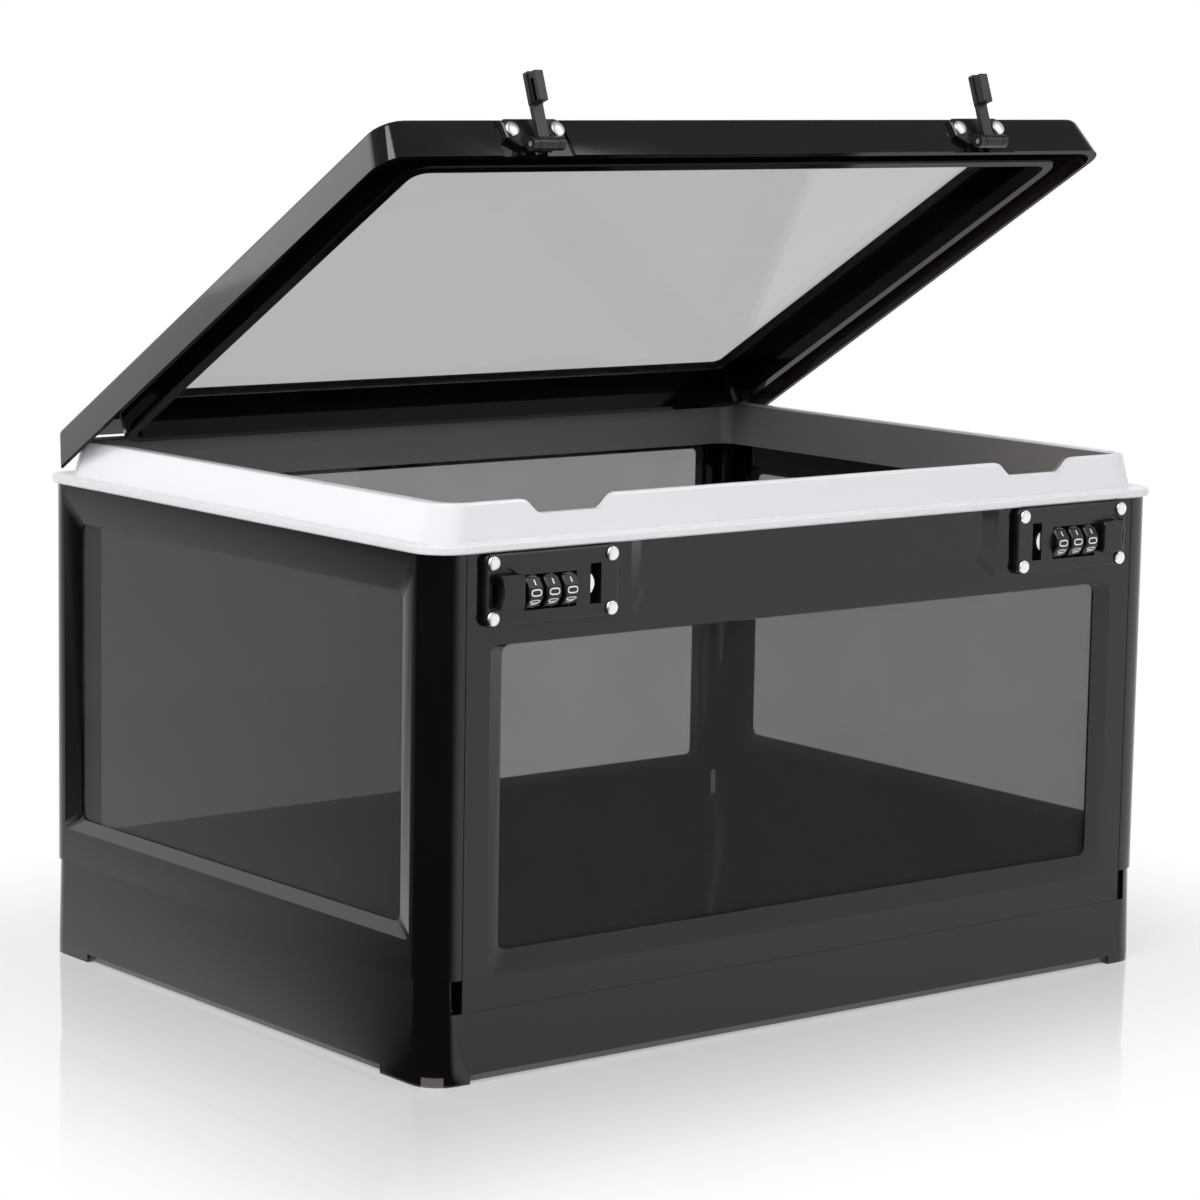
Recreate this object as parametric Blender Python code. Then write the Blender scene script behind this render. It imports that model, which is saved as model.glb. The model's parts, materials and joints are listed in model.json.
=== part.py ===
"""Tabletop lock box: base tray, framed window panels, white rim, hinged window lid, two dial locks."""

from math import cos, pi, radians, sin

import bmesh
import bpy
from mathutils import Vector

# Fits used all over the box
fit_gap = 0.0003
overrun = 0.004
corner_steps = 5
round_sides = 20
rivet_sides = 12
smooth_angle = radians(35)
soft_share = 0.33
dome_turns = (radians(30), radians(65))

# Body
body_width = 0.420
body_depth = 0.3114
corner_radius = 0.014
rim_underside = 0.2245

# Base tray
foot_height = 0.0039
foot_front_length = 0.021
foot_side_length = 0.036
foot_width = 0.009
sill_height = 0.0307
seam_height = 0.0449
tray_wall = 0.003
tray_shelf_width = 0.010
tray_shelf_thickness = 0.0025
tray_floor_top = 0.0055
tray_floor_thickness = 0.0025
tray_flare = 0.0009
plinth_recess = 0.0025
plinth_width = 0.0035
plinth_floor_gap = 0.0006
upstand_width = 0.0114

# Framed panels and their smoked panes
panel_thickness = 0.008
post_width = 0.0159
panel_side_gap = 0.0004
bevel_depth = 0.003
lip_thickness = 0.0006
pane_thickness = 0.002
pane_overlap = 0.004
face_corner = 0.0025
opening_corner = 0.004
side_window_margin = 0.016
side_window_low_margin = 0.016
side_window_high_margin = 0.0064
side_bevel_width = 0.0105
side_bevel_high = 0.011
side_bevel_low = 0.0055
front_window_margin = 0.0124
front_window_low_margin = 0.0137
front_window_high_margin = 0.0389
front_bevel_width = 0.008
front_bevel_low = 0.010
front_bevel_high = 0.0008
recess_lock_gap = 0.0094
recess_slope = 0.0075
recess_depth = 0.003
recess_drop = 0.0319
recess_corner = 0.006

# Panel pivots
pivot_drop = 0.0052
pivot_setback = 0.005
pivot_pin_radius = 0.0016
pivot_pin_length = 0.0125
pivot_pin_seat = 0.006

# Rim and liner
flange_thickness = 0.0037
flange_overhang = 0.0025
flange_round = 0.0007
rim_height = 0.020
rim_front_setback = 0.0057
rim_front_draft = 0.0006
rim_side_setback = 0.0038
rim_side_draft = 0.005
rim_rear_setback = 0.0079
rim_rear_draft = 0.0005
rim_inner_front = 0.0095
rim_inner_side = 0.014
rim_inner_rear = 0.0127
rim_top_round = 0.0011
rim_inner_corner = 0.009
liner_thickness = 0.002
liner_drop = 0.0019
liner_top_drop = 0.0008
notch_shift = 0.0069
notch_depth = 0.0064
notch_half_low = 0.015
notch_half_high = 0.025
notch_steps = 8

# Lid
lid_flange_gap = 0.0008
lid_height = 0.0185
lid_side_inset = 0.0011
lid_side_draft = 0.005
lid_front_inset = 0.0019
lid_front_draft = 0.0016
lid_rear_inset = 0.0037
lid_front_corner = 0.012
lid_rear_corner = 0.004
lid_top_round = 0.002
lid_clearance = 0.0004
deck_clearance = 0.0005
deck_thickness = 0.0045
collar_lift = 0.0003
collar_side_gap = 0.0037
collar_front_gap = 0.0009
collar_rear_gap = 0.0137
collar_side_width = 0.006
collar_end_width = 0.005
collar_corner = 0.012
lid_window_side_strip = 0.019
lid_window_end_strip = 0.017
lid_bevel_width = 0.006
lid_bevel_depth = 0.0016
lid_open_angle = 30.4

# Lid hinges along the rear edge
hinge_setback = 0.0032
hinge_lift = 0.014
hinge_radius = 0.0036
hinge_pin_radius = 0.0013
hinge_offset = 0.118
hinge_knuckle_width = 0.014
hinge_lug_width = 0.007
hinge_web_thickness = 0.0028

# Latches on the lid front
latch_pad_half_high = 0.0175
latch_pad_half_low = 0.0192
latch_pad_depth = 0.001
bracket_width = 0.031
bracket_low = 0.0037
bracket_high = 0.0172
bracket_ear = 0.0080
bracket_foot_half = 0.0096
bracket_corner = 0.0026
bracket_thickness = 0.0030
bracket_chamfer = 0.0007
bracket_arm_low = 0.0065
knuckle_front_share = 0.6
knuckle_rise_share = 0.8
hasp_axis_reach = 0.0058
hasp_axis_lift = 0.0023
knuckle_radius = 0.003
hasp_pin_radius = 0.0012
hasp_barrel_width = 0.010
hasp_lug_width = 0.0032
hasp_width = 0.0056
hasp_thickness = 0.0024
hasp_tip_width = 0.0062
hasp_tip_radius = 0.0012
tab_width = 0.0050
tab_length = 0.0134
tab_depth = 0.0050
tab_soft = 0.0005
tab_slot_gap = 0.0006
tab_notch_end = 0.0006
tab_tip_gap = 0.0009
tab_notch_inset = 0.0022
tab_notch_near = 0.0014
tab_notch_far = 0.0035
tab_notch_drop = 0.0030
hasp_raised_angle = 169.0
latch_rivet_spacing = 0.024
latch_rivet_rise = 0.0115
latch_rivet_head = 0.0034
latch_rivet_shank = 0.0016

# Dial locks on the front panel, measured in from the side of the body and down from the rim
lock_side_inset = 0.0233
lock_length = 0.0698
lock_height = 0.0305
lock_drop = 0.0005
lock_centre_drop = 0.0172
lock_plate_proud = 0.0034
lock_plate_corner = 0.003
lock_plate_round = 0.0008
case_inset_inner = 0.0072
case_inset_outer = 0.0017
case_tail_length = 0.0142
case_half_height = 0.0100
case_tail_half_height = 0.0064
case_pivot_drop = 0.0076
cover_thickness = 0.0015
cover_inset = 0.0012
dial_count = 3
dial_first_inset = 0.0266
dial_pitch = 0.0095
dial_radius = 0.0075
dial_width = 0.0077
dial_proud = 0.0033
dial_edge = 0.0006
dial_gap = 0.00035
dial_side_gap = 0.0003
dial_window_height = 0.0150
bay_wall = 0.00045
dial_facets = 10
dial_shaft_radius = 0.0015
dial_shaft_reach = 0.0049
slot_inset = 0.0122
slot_width = 0.0058
slot_height = 0.0172
slot_depth = 0.0067
slot_lift = 0.0013
hook_reach = 0.0026
hook_height = 0.0078
hook_end_share = 0.35
hook_nose_near = 0.0007
hook_nose_thickness = 0.0014
hook_arm_start = 0.0038
hook_arm_thickness = 0.0018
hook_bar_back_gap = 0.0006
hook_bar_thickness = 0.0030
hook_bar_drop = 0.0026
hook_bar_reach = 0.0016
release_inset = 0.0047
release_width = 0.0130
release_height = 0.0145
release_proud = 0.0042
release_round = 0.0008
release_corner = 0.0016
release_scoop = 0.0012
release_travel = 0.0028
release_lift = 0.0012
release_recess_depth = 0.0012
release_recess_inset = 0.0015
release_recess_corner = 0.002
release_arch_rise = 0.0024
release_arch_reach = 0.0118
stem_inset_inner = 0.0022
stem_inset_outer = 0.0030
stem_height = 0.0076
stem_peg_inset = 0.002
stem_peg_height = 0.0040
lock_rivet_inset_inner = 0.0038
lock_rivet_inset_outer = 0.0037
lock_rivet_inset_high = 0.0038
lock_rivet_inset_low = 0.0036
lock_rivet_head = 0.0031
lock_rivet_shank = 0.0015
rivet_dome = 0.0014

# Places worked out from the sizes above
half_width = body_width / 2
half_depth = body_depth / 2
panel_top = rim_underside - fit_gap
side_panel_bottom = seam_height + fit_gap
front_panel_bottom = sill_height + fit_gap
front_panel_half = half_width - post_width - panel_side_gap
rim_top = rim_underside + rim_height
flange_top = rim_underside + flange_thickness
pane_face = bevel_depth + lip_thickness + fit_gap
pivot_y = half_depth - pivot_setback
pivot_z = panel_top - pivot_drop
lid_bottom = flange_top + lid_flange_gap
lid_top = lid_bottom + lid_height
hinge_y = half_depth - hinge_setback
hinge_z = rim_underside + hinge_lift
lid_front = -half_depth + lid_front_inset
hasp_y = lid_front - hasp_axis_reach
hasp_z = lid_bottom + hasp_axis_lift
panel_face = -half_depth
lock_face = panel_face - lock_plate_proud
lock_outer = half_width - lock_side_inset
lock_inner = lock_outer - lock_length
lock_plate_high = rim_underside - lock_drop
lock_plate_low = lock_plate_high - lock_height
lock_centre = lock_plate_high - lock_centre_drop
case_inner = lock_inner + case_inset_inner
case_outer = lock_outer - case_inset_outer
case_step = case_outer - case_tail_length
case_deep_high = pivot_z - case_pivot_drop
recess_half_width = lock_inner - recess_lock_gap
dial_offsets = [lock_inner + dial_first_inset + dial_pitch * number for number in range(dial_count)]
dial_shaft_inner = dial_offsets[0] - dial_shaft_reach
dial_shaft_outer = dial_offsets[-1] + dial_shaft_reach
dial_y = lock_face + dial_radius - dial_proud
latch_offset = lock_inner + slot_inset
notch_offset = latch_offset + notch_shift
release_outer = lock_outer - release_inset
release_inner = release_outer - release_width
release_recess_outer = lock_outer - release_recess_inset
release_z = lock_centre + release_lift
slot_z = lock_centre + slot_lift
slot_low = slot_z - slot_height / 2
slot_high = slot_z + slot_height / 2
stem_inner = release_inner + stem_inset_inner
stem_outer = release_outer - stem_inset_outer
hook_low = slot_z - hook_height / 2
hook_high = slot_z + hook_height / 2
hook_arm_inner = latch_offset + hook_arm_start
hook_arm_outer = hook_arm_inner + hook_arm_thickness
hook_bar_near = dial_y + dial_radius + dial_gap + bay_wall + fit_gap
lock_back = hook_bar_near + hook_bar_thickness + hook_bar_back_gap
hook_bar_high = hook_high - hook_bar_drop
hook_bar_middle = (hook_low + hook_bar_high) / 2
hook_bar_outer = stem_outer + hook_bar_reach

blacks = (0.028, 0.028, 0.030)
looks = {
    "shell": (blacks, 0.16, 0.0, 1.0),
    "smoked": ((0.16, 0.15, 0.145), 0.06, 0.0, 0.45),
    "white": ((0.86, 0.86, 0.88), 0.30, 0.0, 1.0),
    "liner": ((0.068, 0.058, 0.052), 0.45, 0.0, 1.0),
    "lock": ((0.022, 0.022, 0.024), 0.28, 0.0, 1.0),
    "dial": ((0.016, 0.016, 0.018), 0.22, 0.0, 1.0),
    "chrome": ((0.78, 0.78, 0.79), 0.14, 1.0, 1.0),
    "steel": ((0.55, 0.55, 0.56), 0.32, 1.0, 1.0),
}


def clear_scene():
    for item in list(bpy.data.objects):
        bpy.data.objects.remove(item, do_unlink=True)


def make_look(name):
    colour, roughness, metallic, alpha = looks[name]
    look = bpy.data.materials.get(name) or bpy.data.materials.new(name)
    look.use_nodes = True
    shader = look.node_tree.nodes["Principled BSDF"]
    shader.inputs["Base Color"].default_value = (*colour, 1.0)
    shader.inputs["Roughness"].default_value = roughness
    shader.inputs["Metallic"].default_value = metallic
    shader.inputs["Alpha"].default_value = alpha
    look.diffuse_color = (*colour, alpha)
    return look


def rounded(a0, a1, b0, b1, radius, steps=corner_steps):
    """Outline of a rectangle with rounded corners; radius is one value or one for each corner."""
    low_left, low_right, high_right, high_left = radius if isinstance(radius, tuple) else (radius,) * 4
    corners = (
        (a0 + low_left, b0 + low_left, low_left, 2),
        (a1 - low_right, b0 + low_right, low_right, 3),
        (a1 - high_right, b1 - high_right, high_right, 0),
        (a0 + high_left, b1 - high_left, high_left, 1),
    )
    points = []
    for centre_a, centre_b, size, quarter in corners:
        for step in range(steps + 1):
            turn = (quarter + step / steps) * pi / 2
            points.append((centre_a + size * cos(turn), centre_b + size * sin(turn)))
    return points


def circle(centre_a, centre_b, radius, sides=round_sides):
    turns = [2 * pi * (step + 0.5) / sides for step in range(sides)]
    return [(centre_a + radius * cos(turn), centre_b + radius * sin(turn)) for turn in turns]


def place(axis, a, b, along):
    return {"x": (along, a, b), "y": (a, along, b), "z": (a, b, along)}[axis]


def loft(name, axis, sections):
    """Closed body through outlines of equal length, each at its own place along the axis."""
    shape = bmesh.new()
    rings = []
    for along, outline in sections:
        rings.append([shape.verts.new(place(axis, a, b, along)) for a, b in outline])
    count = len(rings[0])
    for low, high in zip(rings, rings[1:]):
        for i in range(count):
            j = (i + 1) % count
            shape.faces.new((low[i], low[j], high[j], high[i]))
    shape.faces.new(rings[0][::-1])
    shape.faces.new(rings[-1])
    bmesh.ops.recalc_face_normals(shape, faces=shape.faces)
    mesh = bpy.data.meshes.new(name)
    shape.to_mesh(mesh)
    shape.free()
    body = bpy.data.objects.new(name, mesh)
    bpy.context.scene.collection.objects.link(body)
    return body


def prism(name, axis, low, high, outline):
    return loft(name, axis, [(low, outline), (high, outline)])


def block(name, x0, x1, y0, y1, z0, z1):
    outline = [(x0, y0), (x1, y0), (x1, y1), (x0, y1)]
    return prism(name, "z", z0, z1, outline)


def rod(name, axis, low, high, centre_a, centre_b, radius, sides=round_sides):
    return prism(name, axis, low, high, circle(centre_a, centre_b, radius, sides))


def turned(name, axis, centre_a, centre_b, profile, sides=round_sides):
    """Body turned about the axis; profile lists (place along the axis, radius)."""
    return loft(name, axis, [(along, circle(centre_a, centre_b, radius, sides)) for along, radius in profile])


def combine(body, others, operation):
    for other in others:
        step = body.modifiers.new(operation.lower(), "BOOLEAN")
        step.operation = operation
        step.solver = "EXACT"
        step.object = other
    bpy.context.view_layer.update()
    graph = bpy.context.evaluated_depsgraph_get()
    result = bpy.data.meshes.new_from_object(body.evaluated_get(graph))
    old = body.data
    body.modifiers.clear()
    body.data = result
    result.name = body.name
    bpy.data.meshes.remove(old)
    for other in others:
        bpy.data.objects.remove(other, do_unlink=True)
    return body


def cut(body, *others):
    return combine(body, others, "DIFFERENCE")


def fuse(body, *others):
    return combine(body, others, "UNION")


def span(side, low, high):
    """Left and right end of a stretch between two distances from the middle, on the given side."""
    ends = (side * low, side * high)
    return min(ends), max(ends)


def axis_empty(name, pivot, parent=None, turn=0.0):
    marker = bpy.data.objects.new(name, None)
    bpy.context.scene.collection.objects.link(marker)
    marker["pivot"] = pivot
    start = Vector(parent["pivot"]) if parent else Vector((0, 0, 0))
    marker.parent = parent
    marker.location = Vector(pivot) - start
    marker.rotation_euler = (turn, 0, 0)
    return marker


def settle(body, look, parent=None, pivot=None):
    """Gives the body its colour and its origin, and hangs it on its axis."""
    start = Vector(parent["pivot"]) if parent else Vector((0, 0, 0))
    origin = Vector(pivot) if pivot else start
    for vertex in body.data.vertices:
        vertex.co = vertex.co - origin
    body.parent = parent
    body.location = origin - start
    body.data.materials.clear()
    body.data.materials.append(make_look(look))
    for face in body.data.polygons:
        face.use_smooth = True
        face.material_index = 0
    body.data.set_sharp_from_angle(angle=smooth_angle)
    return body


def bevelled_opening(name, axis, face, inward, outer, inner, through):
    """Cutter for a window whose bevel narrows from the outer outline at the face to the inner one."""
    out_share = overrun / bevel_depth
    wide = [o + (o - i) * out_share for o, i in zip(outer, inner)]
    return loft(name, axis, [
        (face - inward * overrun, rounded(*wide, face_corner)),
        (face + inward * bevel_depth, rounded(*inner, opening_corner)),
        (face + inward * through, rounded(*inner, opening_corner)),
    ])


def grown(frame, amount):
    a0, a1, b0, b1 = frame
    return a0 - amount, a1 + amount, b0 - amount, b1 + amount


def build_base():
    top = half_width - tray_flare, half_depth - tray_flare
    tray = loft("base_tray", "z", [
        (foot_height, rounded(-half_width, half_width, -half_depth, half_depth, corner_radius)),
        (seam_height, rounded(-top[0], top[0], -top[1], top[1], corner_radius - tray_flare)),
    ])
    edge = plinth_recess
    plinth = prism("plinth", "z", plinth_floor_gap, tray_floor_top - fit_gap, rounded(
        -half_width + edge, half_width - edge, -half_depth + edge, half_depth - edge, corner_radius - edge))
    feet = prism("feet", "z", 0, foot_height + tray_floor_thickness / 2, rounded(
        -half_width, half_width, -half_depth, half_depth, corner_radius))
    inside = foot_width
    cut(
        feet,
        prism("feet_middle", "z", -overrun, seam_height, rounded(
            -half_width + inside, half_width - inside, -half_depth + inside, half_depth - inside,
            corner_radius - inside)),
        block("front_gap", -half_width + foot_front_length, half_width - foot_front_length,
              -half_depth - overrun, half_depth + overrun, -overrun, seam_height),
        block("side_gap", -half_width - overrun, half_width + overrun,
              -half_depth + foot_side_length, half_depth - foot_side_length, -overrun, seam_height),
    )
    fuse(tray, plinth, feet)
    shelf = tray_shelf_width
    wall = tray_wall + tray_flare
    sill_under = sill_height - tray_shelf_thickness
    seam_under = seam_height - tray_shelf_thickness
    low_inner = plinth_recess + plinth_width
    tools = [
        prism("under_pocket", "z", -overrun, tray_floor_top - tray_floor_thickness, rounded(
            -half_width + low_inner, half_width - low_inner, -half_depth + low_inner, half_depth - low_inner,
            corner_radius - low_inner)),
        prism("low_cavity", "z", tray_floor_top, sill_under, rounded(
            -half_width + wall, half_width - wall, -half_depth + wall, half_depth - wall,
            corner_radius - wall)),
        prism("mouth", "z", sill_under - overrun, seam_height + overrun, rounded(
            -half_width + shelf, half_width - shelf, -half_depth + shelf, half_depth - shelf,
            corner_radius - shelf)),
        block("sill_gap", -half_width + upstand_width, half_width - upstand_width,
              -half_depth - overrun, half_depth + overrun, sill_height, seam_height + overrun),
    ]
    for side in (-1, 1):
        x0, x1 = span(side, half_width - wall, half_width - shelf - overrun)
        tools.append(block("side_cavity", x0, x1, -half_depth + shelf, half_depth - shelf,
                           sill_under - overrun, seam_under))
    cut(tray, *tools)
    return settle(tray, "shell")


def side_outline(side, outside, inside):
    """C-shaped plan of a side panel with its two rounded posts."""
    post_end = half_width - post_width
    centre_x = half_width - corner_radius
    centre_y = half_depth - corner_radius
    outer_radius = corner_radius - outside
    inner_radius = corner_radius - inside
    points = [(post_end, -centre_y - outer_radius)]
    for sign, start in ((-1, -pi / 2), (1, 0)):
        for step in range(corner_steps + 1):
            turn = start + step / corner_steps * pi / 2
            points.append((centre_x + outer_radius * cos(turn), sign * centre_y + outer_radius * sin(turn)))
    points.append((post_end, centre_y + outer_radius))
    points.append((post_end, centre_y + inner_radius))
    for sign, start in ((1, pi / 2), (-1, 0)):
        for step in range(corner_steps + 1):
            turn = start - step / corner_steps * pi / 2
            points.append((centre_x + inner_radius * cos(turn), sign * centre_y + inner_radius * sin(turn)))
    points.append((post_end, -centre_y - inner_radius))
    return [(side * x, y) for x, y in points]


def build_side(side, word):
    panel = prism("side_panel_" + word, "z", side_panel_bottom, panel_top,
                  side_outline(side, 0, panel_thickness))
    outer = (-half_depth + side_window_margin, half_depth - side_window_margin,
             side_panel_bottom + side_window_low_margin, panel_top - side_window_high_margin)
    inner = (outer[0] + side_bevel_width, outer[1] - side_bevel_width,
             outer[2] + side_bevel_low, outer[3] - side_bevel_high)
    face = side * half_width
    inward = -side
    seat = grown(inner, pane_overlap)
    rebate_start = face + inward * (bevel_depth + lip_thickness)
    rebate_end = face + inward * (panel_thickness + overrun)
    tools = [
        bevelled_opening("opening", "x", face, inward, outer, inner, panel_thickness + overrun),
        prism("rebate", "x", rebate_start, rebate_end, rounded(*seat, opening_corner)),
    ]
    for end in (-1, 1):
        post_end = half_width - post_width
        x0, x1 = span(side, post_end - overrun, post_end + pivot_pin_seat + fit_gap)
        tools.append(rod("pivot_bore", "x", x0, x1, end * pivot_y, pivot_z, pivot_pin_radius + fit_gap,
                         rivet_sides))
    cut(panel, *tools)
    pane = prism("side_window_" + word, "x", face + inward * pane_face,
                 face + inward * (pane_face + pane_thickness),
                 rounded(*grown(seat, -fit_gap), opening_corner - fit_gap))
    settle(panel, "shell")
    settle(pane, "smoked")
    for end, place_word in ((-1, "front"), (1, "rear")):
        post_end = half_width - post_width
        x0, x1 = span(side, post_end + pivot_pin_seat - pivot_pin_length, post_end + pivot_pin_seat)
        pin = rod("pivot_pin_" + place_word + "_" + word, "x", x0, x1, end * pivot_y, pivot_z,
                  pivot_pin_radius, rivet_sides)
        settle(pin, "steel")


def panel_profile(end):
    """Section of a swinging panel, with its inner top edge rounded about the pivot."""
    face = end * half_depth
    inner_face = end * (half_depth - panel_thickness)
    reach = panel_thickness - pivot_setback
    rise = (pivot_drop ** 2 - reach ** 2) ** 0.5
    points = [(face, front_panel_bottom), (face, panel_top), (end * pivot_y, panel_top)]
    for step in range(1, corner_steps):
        y = reach * step / corner_steps
        z = (pivot_drop ** 2 - y ** 2) ** 0.5
        points.append((end * (pivot_y - y), pivot_z + z))
    points.append((inner_face, pivot_z + rise))
    points.append((inner_face, front_panel_bottom))
    return points


def build_swing_panel(end, word):
    pivot = (0, end * pivot_y, pivot_z)
    panel_axis = axis_empty(word + "_panel_axis", pivot)
    panel = prism(word + "_panel", "x", -front_panel_half, front_panel_half, panel_profile(end))
    outer = (-front_panel_half + front_window_margin, front_panel_half - front_window_margin,
             front_panel_bottom + front_window_low_margin, panel_top - front_window_high_margin)
    inner = (outer[0] + front_bevel_width, outer[1] - front_bevel_width,
             outer[2] + front_bevel_low, outer[3] - front_bevel_high)
    face = end * half_depth
    inward = -end
    seat = grown(inner, pane_overlap)
    tools = [
        bevelled_opening("opening", "y", face, inward, outer, inner, panel_thickness + overrun),
        prism("rebate", "y", face + inward * (bevel_depth + lip_thickness),
              face + inward * (panel_thickness + overrun), rounded(*seat, opening_corner)),
    ]
    for side in (-1, 1):
        bore_end = half_width - post_width + pivot_pin_seat - pivot_pin_length - fit_gap
        x0, x1 = span(side, bore_end, front_panel_half + overrun)
        tools.append(rod("pivot_bore", "x", x0, x1, end * pivot_y, pivot_z, pivot_pin_radius + fit_gap,
                         rivet_sides))
    if end < 0:
        low = panel_top - recess_drop
        out_share = overrun / recess_depth
        wide = (-recess_half_width - recess_slope * out_share, recess_half_width + recess_slope * out_share,
                low - recess_slope * out_share, panel_top + overrun)
        deep = (-recess_half_width + recess_slope, recess_half_width - recess_slope,
                low + recess_slope, panel_top + overrun)
        tools.append(loft("lock_recess", "y", [
            (face - overrun, rounded(*wide, recess_corner)),
            (face + recess_depth, rounded(*deep, recess_corner)),
        ]))
        for side in (-1, 1):
            tools += lock_seat_tools(side)
    cut(panel, *tools)
    pane = prism(word + "_window", "y", face + inward * pane_face,
                 face + inward * (pane_face + pane_thickness),
                 rounded(*grown(seat, -fit_gap), opening_corner - fit_gap))
    settle(panel, "shell", panel_axis)
    settle(pane, "smoked", panel_axis)
    return panel_axis


def lock_rivet_places():
    xs = (lock_inner + lock_rivet_inset_inner, lock_outer - lock_rivet_inset_outer)
    zs = (lock_plate_low + lock_rivet_inset_low, lock_plate_high - lock_rivet_inset_high)
    return [(x, z) for x in xs for z in zs]


def case_blocks(side, gap, y0, y1, top=None):
    """The two steps of the lock housing behind its plate, grown by a gap for the seat."""
    x0, x1 = span(side, case_inner - gap, case_step + gap)
    high = top or lock_centre + case_half_height + gap
    x2, x3 = span(side, case_step - overrun, case_outer + gap)
    tail_high = top or lock_centre + case_tail_half_height + gap
    return [
        block("case_main", x0, x1, y0, y1, lock_centre - case_half_height - gap, high),
        block("case_tail", x2, x3, y0, y1, lock_centre - case_tail_half_height - gap, tail_high),
    ]


def lock_seat_tools(side):
    tools = case_blocks(side, fit_gap, panel_face - overrun, panel_face + panel_thickness + overrun)
    for x, z in lock_rivet_places():
        tools.append(rod("rivet_hole", "y", panel_face - overrun, panel_face + panel_thickness + overrun,
                         side * x, z, lock_rivet_shank + fit_gap, rivet_sides))
    return tools


def build_lock(side, word, panel_axis):
    x0, x1 = span(side, lock_inner, lock_outer)
    plate_back = panel_face - fit_gap
    panel_back = panel_face + panel_thickness
    inset = lock_plate_round
    near = inset * soft_share

    def plate_ring(y, shrink):
        return y, rounded(x0 + shrink, x1 - shrink, lock_plate_low + shrink, lock_plate_high - shrink,
                          lock_plate_corner - shrink)

    case = loft("lock_case_" + word, "y", [
        plate_ring(plate_back, 0), plate_ring(lock_face + inset, 0), plate_ring(lock_face + near, near),
        plate_ring(lock_face, inset)])
    fuse(case, *case_blocks(side, 0, plate_back - fit_gap, panel_back))
    fuse(case, *case_blocks(side, 0, panel_face, lock_back, case_deep_high))

    tools = []
    bay_reach = dial_width / 2 + dial_side_gap
    a, b = span(side, dial_offsets[0] - bay_reach, dial_offsets[-1] + bay_reach)
    tools.append(rod("dial_bay", "x", a, b, dial_y, lock_centre, dial_radius + dial_gap))
    tools.append(block("dial_window", a, b, lock_face - overrun, dial_y,
                       lock_centre - dial_window_height / 2, lock_centre + dial_window_height / 2))
    a, b = span(side, dial_shaft_inner - fit_gap, dial_shaft_outer + fit_gap)
    tools.append(rod("shaft_bore", "x", a, b, dial_y, lock_centre, dial_shaft_radius + fit_gap, rivet_sides))

    a, b = span(side, latch_offset - slot_width / 2, latch_offset + slot_width / 2)
    tools.append(block("hasp_slot", a, b, lock_face - overrun, lock_face + slot_depth, slot_low, slot_high))
    arm_near = lock_face + hook_nose_near
    slot_side = latch_offset + slot_width / 2
    a, b = span(side, slot_side - fit_gap, hook_arm_outer + release_travel + fit_gap)
    tools.append(block("nose_way", a, b, arm_near - fit_gap, arm_near + hook_nose_thickness + fit_gap,
                       hook_low - fit_gap, hook_high + fit_gap))
    tools.append(block("arm_way", a, b, arm_near, hook_bar_near + fit_gap,
                       hook_low - fit_gap, hook_bar_high + fit_gap))
    a, b = span(side, hook_arm_inner, hook_bar_outer + release_travel + fit_gap)
    tools.append(block("bar_way", a, b, hook_bar_near - fit_gap, lock_back + overrun,
                       hook_low - fit_gap, hook_bar_high + fit_gap))

    half_stem = stem_height / 2 + fit_gap
    a, b = span(side, stem_inner - fit_gap, stem_outer + release_travel + fit_gap)
    tools.append(block("stem_way", a, b, lock_face - overrun, lock_back + overrun,
                       lock_centre - half_stem, lock_centre + half_stem))
    recess = [(side * x, z) for x, z in release_recess_outline()]
    tools.append(prism("release_recess", "y", lock_face - overrun, lock_face + release_recess_depth, recess))
    for x, z in lock_rivet_places():
        tools.append(rod("rivet_hole", "y", lock_face - overrun, plate_back + overrun,
                         side * x, z, lock_rivet_shank + fit_gap, rivet_sides))
    cut(case, *tools)
    settle(case, "lock", panel_axis)

    cover_near = lock_back + fit_gap
    cover_far = cover_near + cover_thickness
    cover = prism("lock_cover_" + word, "y", cover_near, cover_far, rounded(
        x0 + cover_inset, x1 - cover_inset, lock_plate_low + cover_inset, case_deep_high,
        lock_plate_corner - cover_inset))
    low_rivets = [(x, z) for x, z in lock_rivet_places() if z < case_deep_high]
    fuse(cover, *[rod("boss", "y", panel_back + fit_gap, cover_near + fit_gap, side * x, z,
                      lock_rivet_shank + cover_thickness, rivet_sides) for x, z in low_rivets])
    cut(cover, *[rod("hole", "y", panel_face, cover_far + overrun, side * x, z,
                     lock_rivet_shank + fit_gap, rivet_sides) for x, z in low_rivets])
    settle(cover, "lock", panel_axis)

    for number, (x, z) in enumerate(lock_rivet_places(), 1):
        tail = cover_far if (x, z) in low_rivets else panel_back
        rivet = rivet_body("lock_rivet_%s_%d" % (word, number), side * x, z, lock_face - fit_gap, tail,
                           lock_rivet_head, lock_rivet_shank)
        settle(rivet, "chrome", panel_axis)

    for number, offset in enumerate(dial_offsets, 1):
        settle(dial_body("dial_%s_%d" % (word, number), side * offset), "dial", panel_axis,
               (side * offset, dial_y, lock_centre))
    a, b = span(side, dial_shaft_inner, dial_shaft_outer)
    settle(rod("dial_shaft_" + word, "x", a, b, dial_y, lock_centre, dial_shaft_radius, rivet_sides), "steel",
           panel_axis)
    build_release(side, word, panel_axis)
    build_hook(side, word, panel_axis)


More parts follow.
